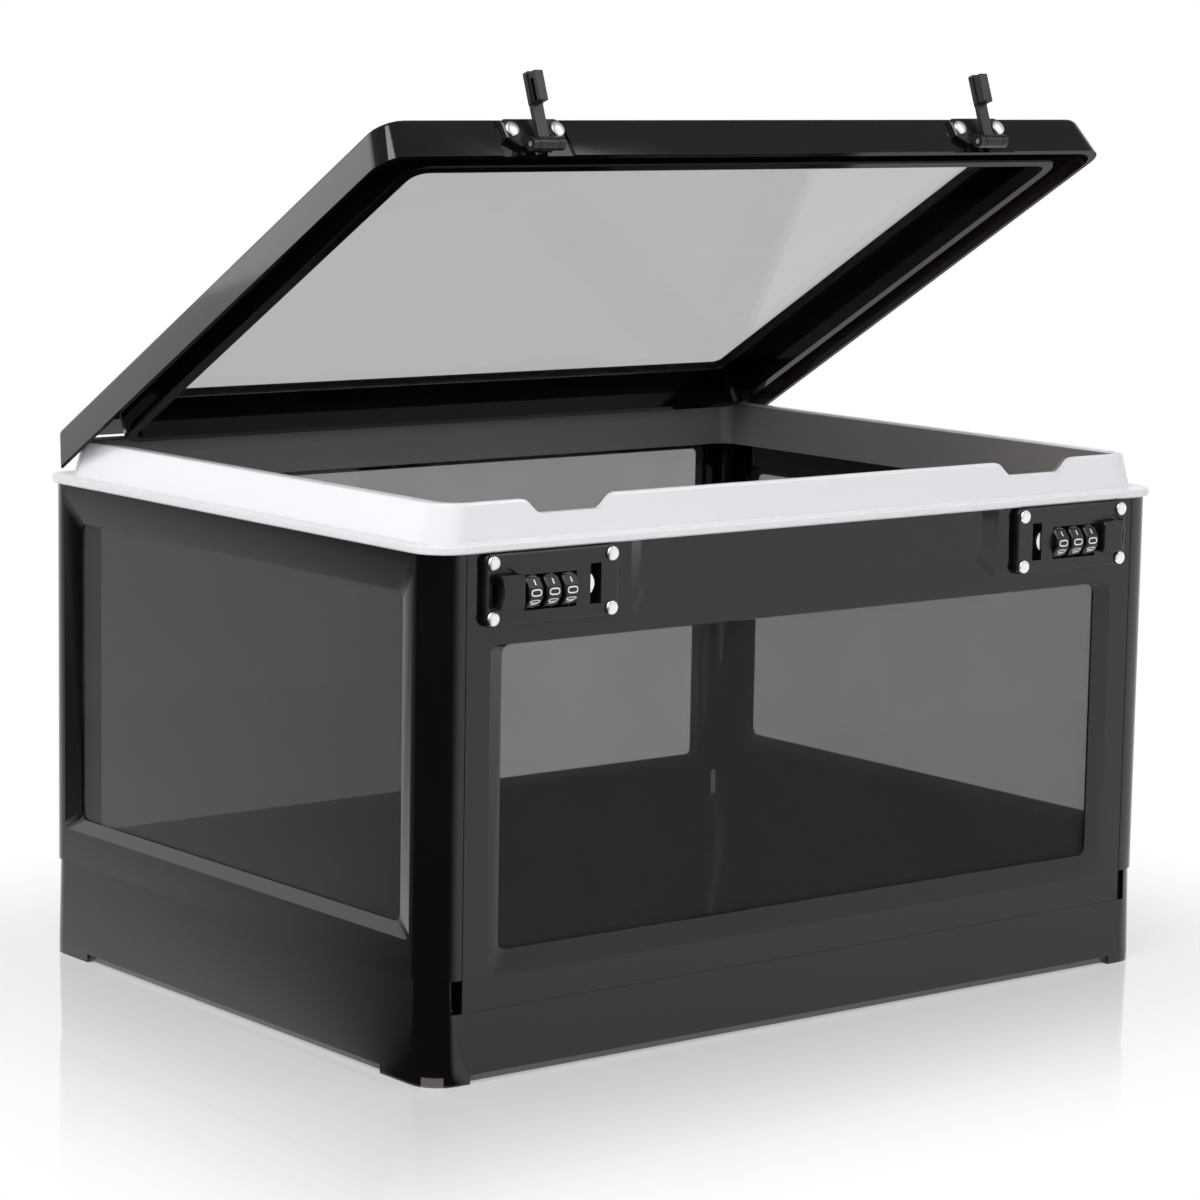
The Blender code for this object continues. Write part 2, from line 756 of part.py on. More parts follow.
def release_recess_outline():
    """Pocket round the button, arched above it and open past its outer end for the travel."""
    low = release_z - release_height / 2 - fit_gap
    high = release_z + release_height / 2 + fit_gap
    corner = release_recess_corner
    points = rounded(stem_inner - fit_gap, release_recess_outer, low, high, (fit_gap, corner, corner, fit_gap))
    inner_top = points.pop()
    while points[-1][0] < stem_inner + release_corner and points[-1][1] > release_z:
        inner_top = points.pop()
    half = release_arch_reach / 2
    middle = stem_inner + half
    for step in range(corner_steps * 2 + 1):
        share = 1 - step / corner_steps
        points.append((middle + half * share, high + release_arch_rise * (1 - share ** 2)))
    points.append((stem_inner - fit_gap, inner_top[1]))
    return points


def build_hook(side, word, panel_axis):
    """Hook whose bowed nose stands in the slot and whose bar runs behind the wheels to the button."""
    near = lock_face + hook_nose_near
    slot_side = latch_offset + slot_width / 2
    outline = [(hook_arm_outer, hook_low), (hook_arm_outer, hook_high)]
    for step in range(corner_steps + 1):
        share = 1 - 2 * step / corner_steps
        reach = hook_reach * (1 - (1 - hook_end_share) * share ** 2)
        outline.append((slot_side - reach, slot_z + share * hook_height / 2))
    hook = prism("lock_hook_" + word, "y", near, near + hook_nose_thickness, [(side * x, z) for x, z in outline])
    bar_far = hook_bar_near + hook_bar_thickness
    a, b = span(side, hook_arm_inner, hook_arm_outer)
    arm = block("arm", a, b, near + fit_gap, hook_bar_near + fit_gap, hook_low, hook_bar_high)
    a, b = span(side, hook_arm_inner, hook_bar_outer)
    bar = block("bar", a, b, hook_bar_near, bar_far, hook_low, hook_bar_high)
    fuse(hook, arm, bar)
    a, b = span(side, stem_inner + stem_peg_inset - fit_gap, stem_outer - stem_peg_inset + fit_gap)
    half_peg = stem_peg_height / 2 + fit_gap
    cut(hook, block("peg_hole", a, b, hook_bar_near - overrun, bar_far + overrun,
                    hook_bar_middle - half_peg, hook_bar_middle + half_peg))
    settle(hook, "chrome", panel_axis, (side * latch_offset, lock_face, lock_centre))


def release_outline(side, inset):
    """Face of the button: round corners next to the wheels, a finger scoop in the outer end."""
    low = release_z - release_height / 2 + inset
    high = release_z + release_height / 2 - inset
    inner = release_inner + inset
    outer = release_outer - inset
    soft = fit_gap
    corners = rounded(inner, outer, low, high, (release_corner, soft, soft, release_corner))
    outline = [point for point in corners if point[0] < outer - release_corner]
    scoop = []
    for step in range(corner_steps * 2 + 1):
        share = step / corner_steps - 1
        scoop.append((outer - release_scoop * (1 - share ** 2), release_z + share * (high - low) / 2))
    first = corner_steps + 1
    return [(side * x, z) for x, z in outline[:first] + scoop + outline[first:]]


def build_release(side, word, panel_axis):
    near = lock_face - release_proud
    base = lock_face - fit_gap
    soft = release_round
    edge = soft * soft_share
    button = loft("release_button_" + word, "y", [
        (base, release_outline(side, 0)), (near + soft, release_outline(side, 0)),
        (near + edge, release_outline(side, edge)), (near, release_outline(side, soft))])
    a, b = span(side, stem_inner, stem_outer)
    stem = block("stem", a, b, base - fit_gap, hook_bar_near - fit_gap,
                 lock_centre - stem_height / 2, lock_centre + stem_height / 2)
    a, b = span(side, stem_inner + stem_peg_inset, stem_outer - stem_peg_inset)
    peg = block("peg", a, b, hook_bar_near - fit_gap - fit_gap, hook_bar_near + hook_bar_thickness,
                hook_bar_middle - stem_peg_height / 2, hook_bar_middle + stem_peg_height / 2)
    fuse(button, stem, peg)
    middle = side * (release_inner + release_outer) / 2
    settle(button, "lock", panel_axis, (middle, lock_face, release_z))


def rivet_body(name, x, z, seat, tail, head_radius, shank_radius):
    """Domed rivet whose head sits in front of the seat and whose shank runs back to the tail."""
    dome = [(seat - rivet_dome * sin(turn), head_radius * cos(turn)) for turn in dome_turns]
    profile = [(tail, shank_radius), (seat, shank_radius), (seat, head_radius)] + dome
    return turned(name, "y", x, z, profile, rivet_sides)


def dial_body(name, x):
    """Number wheel with one flat for each number and chamfered rims."""
    half = dial_width / 2
    dial = turned(name, "x", dial_y, lock_centre, [
        (x - half, dial_radius - dial_edge), (x - half + dial_edge, dial_radius),
        (x + half - dial_edge, dial_radius), (x + half, dial_radius - dial_edge)], dial_facets)
    return cut(dial, rod("bore", "x", x - half - overrun, x + half + overrun, dial_y, lock_centre,
                         dial_shaft_radius + fit_gap, rivet_sides))


def rim_side(z):
    """Outer half width of the rim wall at a height."""
    share = (z - flange_top) / (rim_top - flange_top)
    return half_width - rim_side_setback - rim_side_draft * share


def rim_front(z):
    share = (z - flange_top) / (rim_top - flange_top)
    return half_depth - rim_front_setback - rim_front_draft * share


def rim_rear(z):
    share = (z - flange_top) / (rim_top - flange_top)
    return half_depth - rim_rear_setback - rim_rear_draft * share


def rim_ring(z, inset):
    side = rim_side(z) - inset
    return z, rounded(-side, side, -rim_front(z) + inset, rim_rear(z) - inset, corner_radius - inset)


def notch_cutter(name, side, y0, y1):
    low = rim_top - notch_depth
    points = [(-notch_half_high - overrun, rim_top), (-notch_half_high - overrun, rim_top + overrun),
              (notch_half_high + overrun, rim_top + overrun), (notch_half_high + overrun, rim_top)]
    run = notch_half_high - notch_half_low
    for step in range(notch_steps + 1):
        share = step / notch_steps
        points.append((notch_half_high - run * share, rim_top - notch_depth * (1 - cos(pi * share)) / 2))
    for step in range(notch_steps + 1):
        share = step / notch_steps
        points.append((-notch_half_low - run * share, low + notch_depth * (1 - cos(pi * share)) / 2))
    points.reverse()
    return prism(name, "y", y0, y1, [(side * notch_offset + x, z) for x, z in points])


def build_rim():
    wide = half_width + flange_overhang
    deep = half_depth + flange_overhang
    radius = corner_radius + flange_overhang

    def flange_ring(z, inset):
        return z, rounded(-wide + inset, wide - inset, -deep + inset, deep - inset, radius - inset)

    rim = loft("top_rim", "z", [
        flange_ring(rim_underside, flange_round), flange_ring(rim_underside + flange_round, 0),
        flange_ring(flange_top - flange_round, 0), flange_ring(flange_top, flange_round)])
    wall = loft("wall", "z", [
        rim_ring(flange_top - flange_thickness / 2, 0), rim_ring(rim_top - rim_top_round, 0),
        rim_ring(rim_top - rim_top_round * soft_share, rim_top_round * soft_share), rim_ring(rim_top, rim_top_round)])
    lugs = []
    for centre in (-hinge_offset, 0, hinge_offset):
        for side in (-1, 1):
            near = hinge_knuckle_width / 2 + fit_gap
            a, b = span(side, near, near + hinge_lug_width)
            outline = [(hinge_y - hinge_radius * 2, flange_top - flange_thickness / 2),
                       (hinge_y + hinge_radius, flange_top - flange_thickness / 2)]
            for step in range(corner_steps * 2 + 1):
                turn = pi * step / (corner_steps * 2)
                outline.append((hinge_y + hinge_radius * cos(turn), hinge_z + hinge_radius * sin(turn)))
            outline.append((hinge_y - hinge_radius * 2, hinge_z))
            lugs.append(prism("lug", "x", centre + a, centre + b, outline))
    fuse(rim, wall, *lugs)
    x_in = half_width - rim_inner_side
    y_front = -half_depth + rim_inner_front
    y_rear = half_depth - rim_inner_rear
    flare = rim_top_round + overrun / 2
    tools = [loft("mouth", "z", [
        (rim_underside - overrun, rounded(-x_in, x_in, y_front, y_rear, rim_inner_corner)),
        (rim_top - rim_top_round, rounded(-x_in, x_in, y_front, y_rear, rim_inner_corner)),
        (rim_top + overrun / 2, rounded(-x_in - flare / 2, x_in + flare / 2, y_front - flare / 2,
                                        y_rear + flare / 2, rim_inner_corner + flare / 2)),
    ])]
    for side in (-1, 1):
        tools.append(notch_cutter("notch", side, -half_depth - overrun, y_front + overrun))
    for centre in (-hinge_offset, 0, hinge_offset):
        half = hinge_knuckle_width / 2 + hinge_lug_width + overrun
        tools.append(rod("pin_bore", "x", centre - half, centre + half, hinge_y, hinge_z,
                         hinge_pin_radius + fit_gap, rivet_sides))
    cut(rim, *tools)
    settle(rim, "white")

    for centre, word in ((-hinge_offset, "left"), (0, "middle"), (hinge_offset, "right")):
        half = hinge_knuckle_width / 2 + hinge_lug_width
        settle(rod("hinge_pin_" + word, "x", centre - half, centre + half, hinge_y, hinge_z,
                   hinge_pin_radius, rivet_sides), "steel")

    side_out = x_in - fit_gap
    front_out = y_front + fit_gap
    rear_out = y_rear - fit_gap
    skin = liner_thickness
    liner = prism("rim_liner", "z", rim_underside - liner_drop, rim_top - liner_top_drop,
                  rounded(-side_out, side_out, front_out, rear_out, rim_inner_corner - fit_gap))
    tools = [prism("hollow", "z", rim_underside - liner_drop - overrun, rim_top + overrun, rounded(
        -side_out + skin, side_out - skin, front_out + skin, rear_out - skin,
        rim_inner_corner - fit_gap - skin))]
    for side in (-1, 1):
        tools.append(notch_cutter("notch", side, front_out - overrun, front_out + skin + overrun))
    cut(liner, *tools)
    settle(liner, "liner")
    return side_out - skin, front_out + skin, rear_out - skin


def lid_ring(z, inset):
    share = (z - lid_bottom) / lid_height
    side = half_width - lid_side_inset - lid_side_draft * share - inset
    front = lid_front + lid_front_draft * share + inset
    rear = half_depth - lid_rear_inset - inset
    corners = (lid_front_corner - inset, lid_front_corner - inset, lid_rear_corner - inset, lid_rear_corner - inset)
    return z, rounded(-side, side, front, rear, corners)


def lid_cavity_ring(z, at):
    side = rim_side(at) + lid_clearance
    front = -rim_front(at) - lid_clearance
    rear = half_depth + overrun
    corner = corner_radius - (half_width - side) / 2
    return z, rounded(-side, side, front, rear, (corner, corner, face_corner, face_corner))


def build_lid(liner_inner):
    pivot = (0, hinge_y, hinge_z)
    lid_axis = axis_empty("lid_axis", pivot, None, -radians(lid_open_angle))
    frame = loft("lid_frame", "z", [
        lid_ring(lid_bottom, 0), lid_ring(lid_top - lid_top_round, 0),
        lid_ring(lid_top - lid_top_round * soft_share, lid_top_round * soft_share), lid_ring(lid_top, lid_top_round)])
    deck_under = rim_top + deck_clearance
    cut(frame, loft("cavity", "z", [
        lid_cavity_ring(lid_bottom - overrun / 4, lid_bottom - overrun / 4),
        lid_cavity_ring(deck_under, deck_under)]))
    side_in, front_in, rear_in = liner_inner
    ring = (-side_in + collar_side_gap, side_in - collar_side_gap, front_in + collar_front_gap,
            rear_in - collar_rear_gap)
    hollow = (ring[0] + collar_side_width, ring[1] - collar_side_width, ring[2] + collar_end_width,
              ring[3] - collar_end_width)
    collar_low = lid_bottom + collar_lift
    collar_soft = fit_gap * 2
    collar = loft("collar", "z", [
        (collar_low, rounded(*grown(ring, -collar_soft), collar_corner - collar_soft)),
        (collar_low + collar_soft, rounded(*ring, collar_corner)),
        (deck_under + deck_clearance, rounded(*ring, collar_corner))])
    joined = [collar]
    for centre in (-hinge_offset, 0, hinge_offset):
        half = hinge_knuckle_width / 2
        joined.append(rod("knuckle", "x", centre - half, centre + half, hinge_y, hinge_z, hinge_radius))
        rear = half_depth - lid_rear_inset
        joined.append(block("web", centre - half, centre + half, rear - hinge_web_thickness,
                            rear - fit_gap, hinge_z, deck_under + deck_clearance))
    fuse(frame, *joined)

    deck_inner = lid_top - deck_thickness
    opening = (hollow[0] + lid_window_side_strip, hollow[1] - lid_window_side_strip,
               hollow[2] + lid_window_end_strip, hollow[3] - lid_window_end_strip)
    seat = grown(opening, pane_overlap)
    pane_top = deck_inner + pane_thickness
    out_share = overrun / lid_bevel_depth
    tools = [
        prism("hollow", "z", lid_bottom - overrun, deck_inner,
              rounded(*hollow, collar_corner - collar_end_width)),
        prism("rebate", "z", deck_inner - overrun, pane_top + fit_gap, rounded(*seat, opening_corner)),
        loft("opening", "z", [
            (deck_inner, rounded(*opening, opening_corner)),
            (lid_top - lid_bevel_depth, rounded(*opening, opening_corner)),
            (lid_top + overrun, rounded(*grown(opening, lid_bevel_width * (1 + out_share)), opening_corner)),
        ]),
    ]
    for centre in (-hinge_offset, 0, hinge_offset):
        half = hinge_knuckle_width / 2 + overrun
        tools.append(rod("pin_bore", "x", centre - half, centre + half, hinge_y, hinge_z,
                         hinge_pin_radius + fit_gap, rivet_sides))
    for side in (-1, 1):
        middle = side * latch_offset
        out = lid_front - overrun
        tools.append(loft("latch_pad", "z", [
            (lid_bottom - overrun, pad_outline(middle, latch_pad_half_low, out, pad_floor(lid_bottom - overrun))),
            (lid_top + overrun, pad_outline(middle, latch_pad_half_high, out, pad_floor(lid_top + overrun))),
        ]))
        for x, z in latch_rivet_places(side):
            tools.append(rod("rivet_hole", "y", lid_front - overrun, -rim_front(rim_top) + fit_gap, x, z,
                             latch_rivet_shank + fit_gap, rivet_sides))
    cut(frame, *tools)
    settle(frame, "shell", lid_axis)
    pane = prism("lid_window", "z", deck_inner, pane_top, rounded(*grown(seat, -fit_gap), opening_corner - fit_gap))
    settle(pane, "smoked", lid_axis)
    return lid_axis


def pad_floor(z):
    """Depth place of the shallow latch pad on the drafted lid front."""
    share = (z - lid_bottom) / lid_height
    return lid_front + lid_front_draft * share + latch_pad_depth


def pad_outline(middle, half, near, far):
    return [(middle - half, near), (middle + half, near), (middle + half, far), (middle - half, far)]


def latch_rivet_places(side):
    z = lid_bottom + latch_rivet_rise
    return [(side * latch_offset - latch_rivet_spacing / 2, z), (side * latch_offset + latch_rivet_spacing / 2, z)]


def bracket_plate(name, middle):
    """Latch plate on the drafted lid front: round ears for the rivets, lower sides running in to the knuckle."""
    half = bracket_width / 2
    low = lid_bottom + bracket_low
    high = lid_bottom + bracket_high
    ear = lid_bottom + bracket_ear

    def face(inset, depth):
        ends = rounded(-half + inset, half - inset, ear, high - inset, bracket_corner)
        upper = [point for point in ends if point[1] > ear + bracket_corner]
        foot = bracket_foot_half - inset
        outline = [(-half + inset, ear), (-foot, low + inset), (foot, low + inset), (half - inset, ear)] + upper
        return [(middle + x, pad_floor(z) - fit_gap - depth, z) for x, z in outline]

    soft = bracket_thickness - bracket_chamfer
    rings = [face(0, 0), face(0, soft), face(bracket_chamfer, bracket_thickness)]
    shape = bmesh.new()
    made = [[shape.verts.new(point) for point in ring] for ring in rings]
    count = len(made[0])
    for back, front in zip(made, made[1:]):
        for i in range(count):
            j = (i + 1) % count
            shape.faces.new((back[i], back[j], front[j], front[i]))
    shape.faces.new(made[0][::-1])
    shape.faces.new(made[-1])
    bmesh.ops.recalc_face_normals(shape, faces=shape.faces)
    mesh = bpy.data.meshes.new(name)
    shape.to_mesh(mesh)
    shape.free()
    plate = bpy.data.objects.new(name, mesh)
    bpy.context.scene.collection.objects.link(plate)
    return plate


def build_latch(side, word, lid_axis):
    middle = side * latch_offset
    bracket = bracket_plate("latch_bracket_" + word, middle)
    barrel_half = hasp_barrel_width / 2 + fit_gap
    arm_low = lid_bottom + bracket_arm_low
    lugs = []
    for end in (-1, 1):
        a, b = span(end, barrel_half, barrel_half + hasp_lug_width)
        inner_y = pad_floor(arm_low) - fit_gap - bracket_thickness / 2
        outline = [(hasp_y + knuckle_radius, hasp_z), (inner_y, arm_low + fit_gap),
                   (inner_y, arm_low + knuckle_radius),
                   (hasp_y - knuckle_radius * knuckle_front_share, hasp_z + knuckle_radius * knuckle_rise_share)]
        lugs.append(rod("barrel", "x", middle + a, middle + b, hasp_y, hasp_z, knuckle_radius))
        lugs.append(prism("arm", "x", middle + a + tab_soft, middle + b - tab_soft, outline))
    fuse(bracket, *lugs)
    holes = [rod("pin_bore", "x", middle - barrel_half - hasp_lug_width - overrun,
                 middle + barrel_half + hasp_lug_width + overrun, hasp_y, hasp_z, hasp_pin_radius + fit_gap,
                 rivet_sides)]
    for x, z in latch_rivet_places(side):
        holes.append(rod("rivet_hole", "y", lid_front - overrun * 2, lid_front + overrun, x, z,
                         latch_rivet_shank + fit_gap, rivet_sides))
    cut(bracket, *holes)
    settle(bracket, "lock", lid_axis)
    for number, (x, z) in enumerate(latch_rivet_places(side), 1):
        seat = pad_floor(z) - fit_gap - bracket_thickness - fit_gap
        tail = -rim_front(z) - lid_clearance
        rivet = rivet_body("latch_rivet_%s_%d" % (word, number), x, z, seat, tail,
                           latch_rivet_head, latch_rivet_shank)
        settle(rivet, "chrome", lid_axis)
    pin_half = barrel_half + hasp_lug_width
    settle(rod("hasp_pin_" + word, "x", middle - pin_half, middle + pin_half, hasp_y, hasp_z,
               hasp_pin_radius, rivet_sides), "steel", lid_axis)

    hasp_axis = axis_empty("hasp_axis_" + word, (middle, hasp_y, hasp_z), lid_axis, -radians(hasp_raised_angle))
    hasp = rod("hasp_" + word, "x", middle - hasp_barrel_width / 2, middle + hasp_barrel_width / 2,
               hasp_y, hasp_z, knuckle_radius)
    outer_face = hasp_y - knuckle_radius
    inner_face = outer_face + hasp_thickness
    tab_low = slot_low + tab_slot_gap
    tab_high = tab_low + tab_length
    tip = tab_low - tab_tip_gap
    arm = block("arm", middle - hasp_width / 2, middle + hasp_width / 2, outer_face, inner_face, tip + tab_length,
                hasp_z)
    end = prism("end", "y", outer_face, inner_face, rounded(
        middle - hasp_tip_width / 2, middle + hasp_tip_width / 2, tip, tab_high + tab_tip_gap, hasp_tip_radius))
    half = tab_width / 2

    def tab_ring(y, inset):
        return y, rounded(middle - half + inset, middle + half - inset, tab_low + inset, tab_high - inset, tab_soft)

    tab_far = inner_face + tab_depth
    tab = loft("tab", "y", [tab_ring(inner_face - hasp_thickness / 2, 0), tab_ring(tab_far - tab_soft, 0),
                            tab_ring(tab_far, tab_soft)])
    fuse(hasp, arm, end, tab)
    a, b = span(side, tab_width / 2 - tab_notch_inset, tab_width / 2 + overrun)
    cut(
        hasp,
        block("notch", middle + a, middle + b, inner_face + tab_notch_near, inner_face + tab_notch_far,
              tab_low + tab_notch_drop, tab_high - tab_notch_end),
        rod("pin_bore", "x", middle - hasp_barrel_width, middle + hasp_barrel_width, hasp_y, hasp_z,
            hasp_pin_radius + fit_gap, rivet_sides),
    )
    settle(hasp, "lock", hasp_axis)


def main():
    clear_scene()
    build_base()
    for side, word in ((-1, "left"), (1, "right")):
        build_side(side, word)
    front_axis = build_swing_panel(-1, "front")
    build_swing_panel(1, "rear")
    for side, word in ((-1, "left"), (1, "right")):
        build_lock(side, word, front_axis)
    liner_inner = build_rim()
    lid_axis = build_lid(liner_inner)
    for side, word in ((-1, "left"), (1, "right")):
        build_latch(side, word, lid_axis)


main()
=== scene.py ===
import json
from math import cos, pi, radians, sin

import bmesh
import bpy
from mathutils import Matrix, Vector


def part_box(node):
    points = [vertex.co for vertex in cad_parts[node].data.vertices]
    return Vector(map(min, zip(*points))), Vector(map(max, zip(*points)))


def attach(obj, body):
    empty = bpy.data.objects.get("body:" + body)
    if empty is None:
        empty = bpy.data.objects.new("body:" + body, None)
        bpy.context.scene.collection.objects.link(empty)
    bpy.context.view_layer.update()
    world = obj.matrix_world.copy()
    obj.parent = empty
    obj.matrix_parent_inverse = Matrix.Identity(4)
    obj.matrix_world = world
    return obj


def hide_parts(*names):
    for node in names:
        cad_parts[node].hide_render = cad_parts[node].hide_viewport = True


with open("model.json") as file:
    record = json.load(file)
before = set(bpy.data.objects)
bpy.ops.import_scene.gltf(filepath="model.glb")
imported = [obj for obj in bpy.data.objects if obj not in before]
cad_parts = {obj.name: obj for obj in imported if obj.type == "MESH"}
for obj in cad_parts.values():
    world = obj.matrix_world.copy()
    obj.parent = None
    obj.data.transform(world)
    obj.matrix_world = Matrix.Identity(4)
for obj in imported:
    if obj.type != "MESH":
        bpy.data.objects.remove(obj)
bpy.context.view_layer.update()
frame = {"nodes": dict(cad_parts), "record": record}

record = frame["record"]


# shader maths

class Value:
    # wraps one output socket, so shader sums read like plain sums

    def __init__(self, graph, socket):
        self.graph = graph
        self.socket = socket

    def maths(self, operation, first, second=None):
        inputs = [first] if second is None else [first, second]
        return self.graph.add("ShaderNodeMath", {"operation": operation}, inputs)

    def __add__(self, other):
        return self.maths("ADD", self, other)

    def __radd__(self, other):
        return self.maths("ADD", other, self)

    def __sub__(self, other):
        return self.maths("SUBTRACT", self, other)

    def __rsub__(self, other):
        return self.maths("SUBTRACT", other, self)

    def __mul__(self, other):
        return self.maths("MULTIPLY", self, other)

    def __rmul__(self, other):
        return self.maths("MULTIPLY", other, self)

    def __truediv__(self, other):
        return self.maths("DIVIDE", self, other)

    def __rtruediv__(self, other):
        return self.maths("DIVIDE", other, self)

    def __pow__(self, other):
        return self.maths("POWER", self, other)

    def __rpow__(self, other):
        return self.maths("POWER", other, self)

    def __abs__(self):
        return self.maths("ABSOLUTE", self)

    def atLeast(self, other):
        return self.maths("MAXIMUM", self, other)


class Graph:

    def __init__(self, tree):
        self.tree = tree
        self.tree.nodes.clear()

    def add(self, kind, settings=None, inputs=(), output=0):
        node = self.tree.nodes.new(kind)
        for key, value in (settings or {}).items():
            setattr(node, key, value)
        pairs = inputs.items() if isinstance(inputs, dict) else enumerate(inputs)
        for key, value in pairs:
            if isinstance(value, Value):
                self.tree.links.new(value.socket, node.inputs[key])
            else:
                node.inputs[key].default_value = value
        return Value(self, node.outputs[output]) if node.outputs else None

    def blend(self, factor, first, second):
        # colour mix, from first at 0 to second at 1
        return self.add("ShaderNodeMix", {"data_type": "RGBA"}, {0: factor, 6: first, 7: second}, 2)

    def place(self):
        return self.add("ShaderNodeTexCoord", output=3)

    def facing(self):
        return self.add("ShaderNodeTexCoord", output=1)

    def axes(self, vector):
        return [self.add("ShaderNodeSeparateXYZ", {}, [vector], i) for i in range(3)]

    def along(self, vector, direction):
        return self.add("ShaderNodeVectorMath", {"operation": "DOT_PRODUCT"}, [vector, direction], 1)

    def noise(self, scale, detail=2.0, roughness=0.5, place=None):
        inputs = {"Vector": place or self.place(), "Scale": scale, "Detail": detail, "Roughness": roughness}
        return self.add("ShaderNodeTexNoise", {}, inputs)

    def ramp(self, value, low, high, lowOut=0.0, highOut=1.0):
        return self.add("ShaderNodeMapRange", {"interpolation_type": "SMOOTHSTEP"},
                        {0: value, 1: low, 2: high, 3: lowOut, 4: highOut})

    def bump(self, height, strength, distance, normal=None):
        inputs = {"Strength": strength, "Distance": distance, "Height": height}
        if normal:
            inputs["Normal"] = normal
        return self.add("ShaderNodeBump", {}, inputs)

    def surface(self, **inputs):
        named = {key.replace("_", " "): value for key, value in inputs.items()}
        shader = self.add("ShaderNodeBsdfPrincipled", {}, named)
        return self.add("ShaderNodeOutputMaterial", {}, {"Surface": shader})


def newMaterial(name):
    material = bpy.data.materials.new(name)
    material.use_nodes = True
    return material, Graph(material.node_tree)


def grey(value, warm=0.0):
    return (value * (1 + warm), value, value * (1 - warm), 1.0)


# materials

plastic = {
    "shade": 0.0028, "lift": 0.0016, "rough": 0.055, "roughSpread": 0.05,
    "smudgeScale": 9.0, "peelScale": 170.0, "peelHeight": 0.000008, "shadeDullIor": 1.16,
}


def plasticShader(graph, values, tint=None, shadeDull=None):
    # tint takes the plain colour and gives the one with painted light on it; the last mask is where the gloss is taken
    # away as painted shade
    smudge = graph.noise(values["smudgeScale"], 4.0, 0.6)
    fine = graph.noise(values["peelScale"], 2.0)
    soft = graph.ramp(smudge, 0.35, 0.75)
    colour = graph.blend(soft, grey(values["shade"]), grey(values["shade"] + values["lift"]))
    inputs = {
        "Base Color": tint(colour) if tint else colour,
        "Roughness": soft * values["roughSpread"] + values["rough"],
        "Normal": graph.bump(fine, 0.3, values["peelHeight"]),
    }
    shader = graph.add("ShaderNodeBsdfPrincipled", {}, dict(inputs, IOR=1.5))
    if shadeDull:
        other = graph.add("ShaderNodeBsdfPrincipled", {}, dict(inputs, IOR=values["shadeDullIor"]))
        shader = graph.add("ShaderNodeMixShader", {}, [shadeDull, shader, other])
    graph.add("ShaderNodeOutputMaterial", {}, {"Surface": shader})


def blackPlastic(name, values):
    material, graph = newMaterial(name)
    plasticShader(graph, values)
    return material


# painted brown glow on the recessed plinth strip: its bounds and its colour
plinthGlow = {"top": 0.0042, "outX": 0.2084, "outY": 0.1541, "colour": (0.125, 0.108, 0.102, 1.0)}


def trayPlastic(name, values, plinthGlow):
    # painted light: the recessed plinth strip between the feet gets a painted brown glow, far brighter than the black
    # plastic around it
    material, graph = newMaterial(name)
    x, y, z = graph.axes(graph.place())
    low = graph.ramp(z, plinthGlow["top"] + 0.0003, plinthGlow["top"] - 0.0002)
    inside = graph.ramp(abs(x), plinthGlow["outX"] + 0.0003, plinthGlow["outX"])
    behind = graph.ramp(abs(y), plinthGlow["outY"] + 0.0003, plinthGlow["outY"])
    cloud = graph.noise(60.0, 3.0)
    plasticShader(graph, values, lambda colour: graph.blend(
        low * inside * behind * (cloud * 0.4 + 0.8), colour, plinthGlow["colour"]))
    return material


# painted light inside the lid: the glow colour of the skirts, the shade colour of the deck, and where they reach
lidInside = {
    "turn": 30.4, "skirtGlow": (0.0170, 0.0098, 0.0086, 1.0), "shadedDeck": (0.0046, 0.0030, 0.0027, 1.0),
    "skirtFrom": 0.1990, "rear": 0.105,
}


def lidPlastic(name, values, inner):
    # painted light on thin smoked plastic: the side skirts' inner faces get a painted brown glow, the deck facing down
    # a dark brown painted shade, and the deck and the rear skirt's inner face lose their gloss as painted shade; the
    # outside stays black
    material, graph = newMaterial(name)
    turn = radians(inner["turn"])
    place, facing = graph.place(), graph.facing()
    x = graph.axes(place)[0]
    facingX = graph.axes(facing)[0]
    downward = graph.along(facing, (0, -sin(turn), -cos(turn)))
    inward = (0 - x * facingX) / abs(x)
    outer = graph.ramp(abs(x), inner["skirtFrom"] - 0.0006, inner["skirtFrom"])
    cloud = graph.noise(22.0, 3.0) * 0.5 + 0.75
    # painted brown glow on the side skirts' inner faces
    skirtGlow = graph.ramp(inward, 0.4, 0.7) * outer * cloud
    # painted shade on the deck facing down
    shadedDeck = graph.ramp(downward, 0.4, 0.8)
    forward = graph.along(facing, (0, -cos(turn), sin(turn)))
    rear = graph.ramp(graph.axes(place)[1], inner["rear"] - 0.004, inner["rear"])
    # painted shade: the deck and the rear skirt's inner face lose their gloss
    dulledShade = shadedDeck.atLeast(graph.ramp(forward, 0.3, 0.6) * rear)

    def tint(colour):
        colour = graph.blend(shadedDeck, colour, inner["shadedDeck"])
        return graph.blend(skirtGlow, colour, inner["skirtGlow"])

    plasticShader(graph, values, tint, dulledShade)
    return material


pane = {"shade": 0.030, "warm": 0.03, "alpha": 0.58, "spread": 0.02, "rough": 0.02, "roughSpread": 0.05}
lidPane = dict(pane, alpha=0.330, spread=0.01, shade=0.05)
frontPane = dict(pane, alpha=0.13, spread=0.01, shade=0.05)
rearPane = dict(pane, alpha=0.53, spread=0.02, shade=0.05)


def smokedPane(name, values):
    material, graph = newMaterial(name)
    smear = graph.noise(14.0, 5.0, 0.62)
    graph.surface(
        Base_Color=graph.blend(smear, grey(values["shade"], values["warm"]),
                               grey(values["shade"] * 1.3, values["warm"])),
        Roughness=graph.ramp(smear, 0.4, 0.8) * values["roughSpread"] + values["rough"],
        Alpha=graph.ramp(smear, 0.3, 0.7) * values["spread"] + values["alpha"],
        IOR=1.49,
    )
    return material


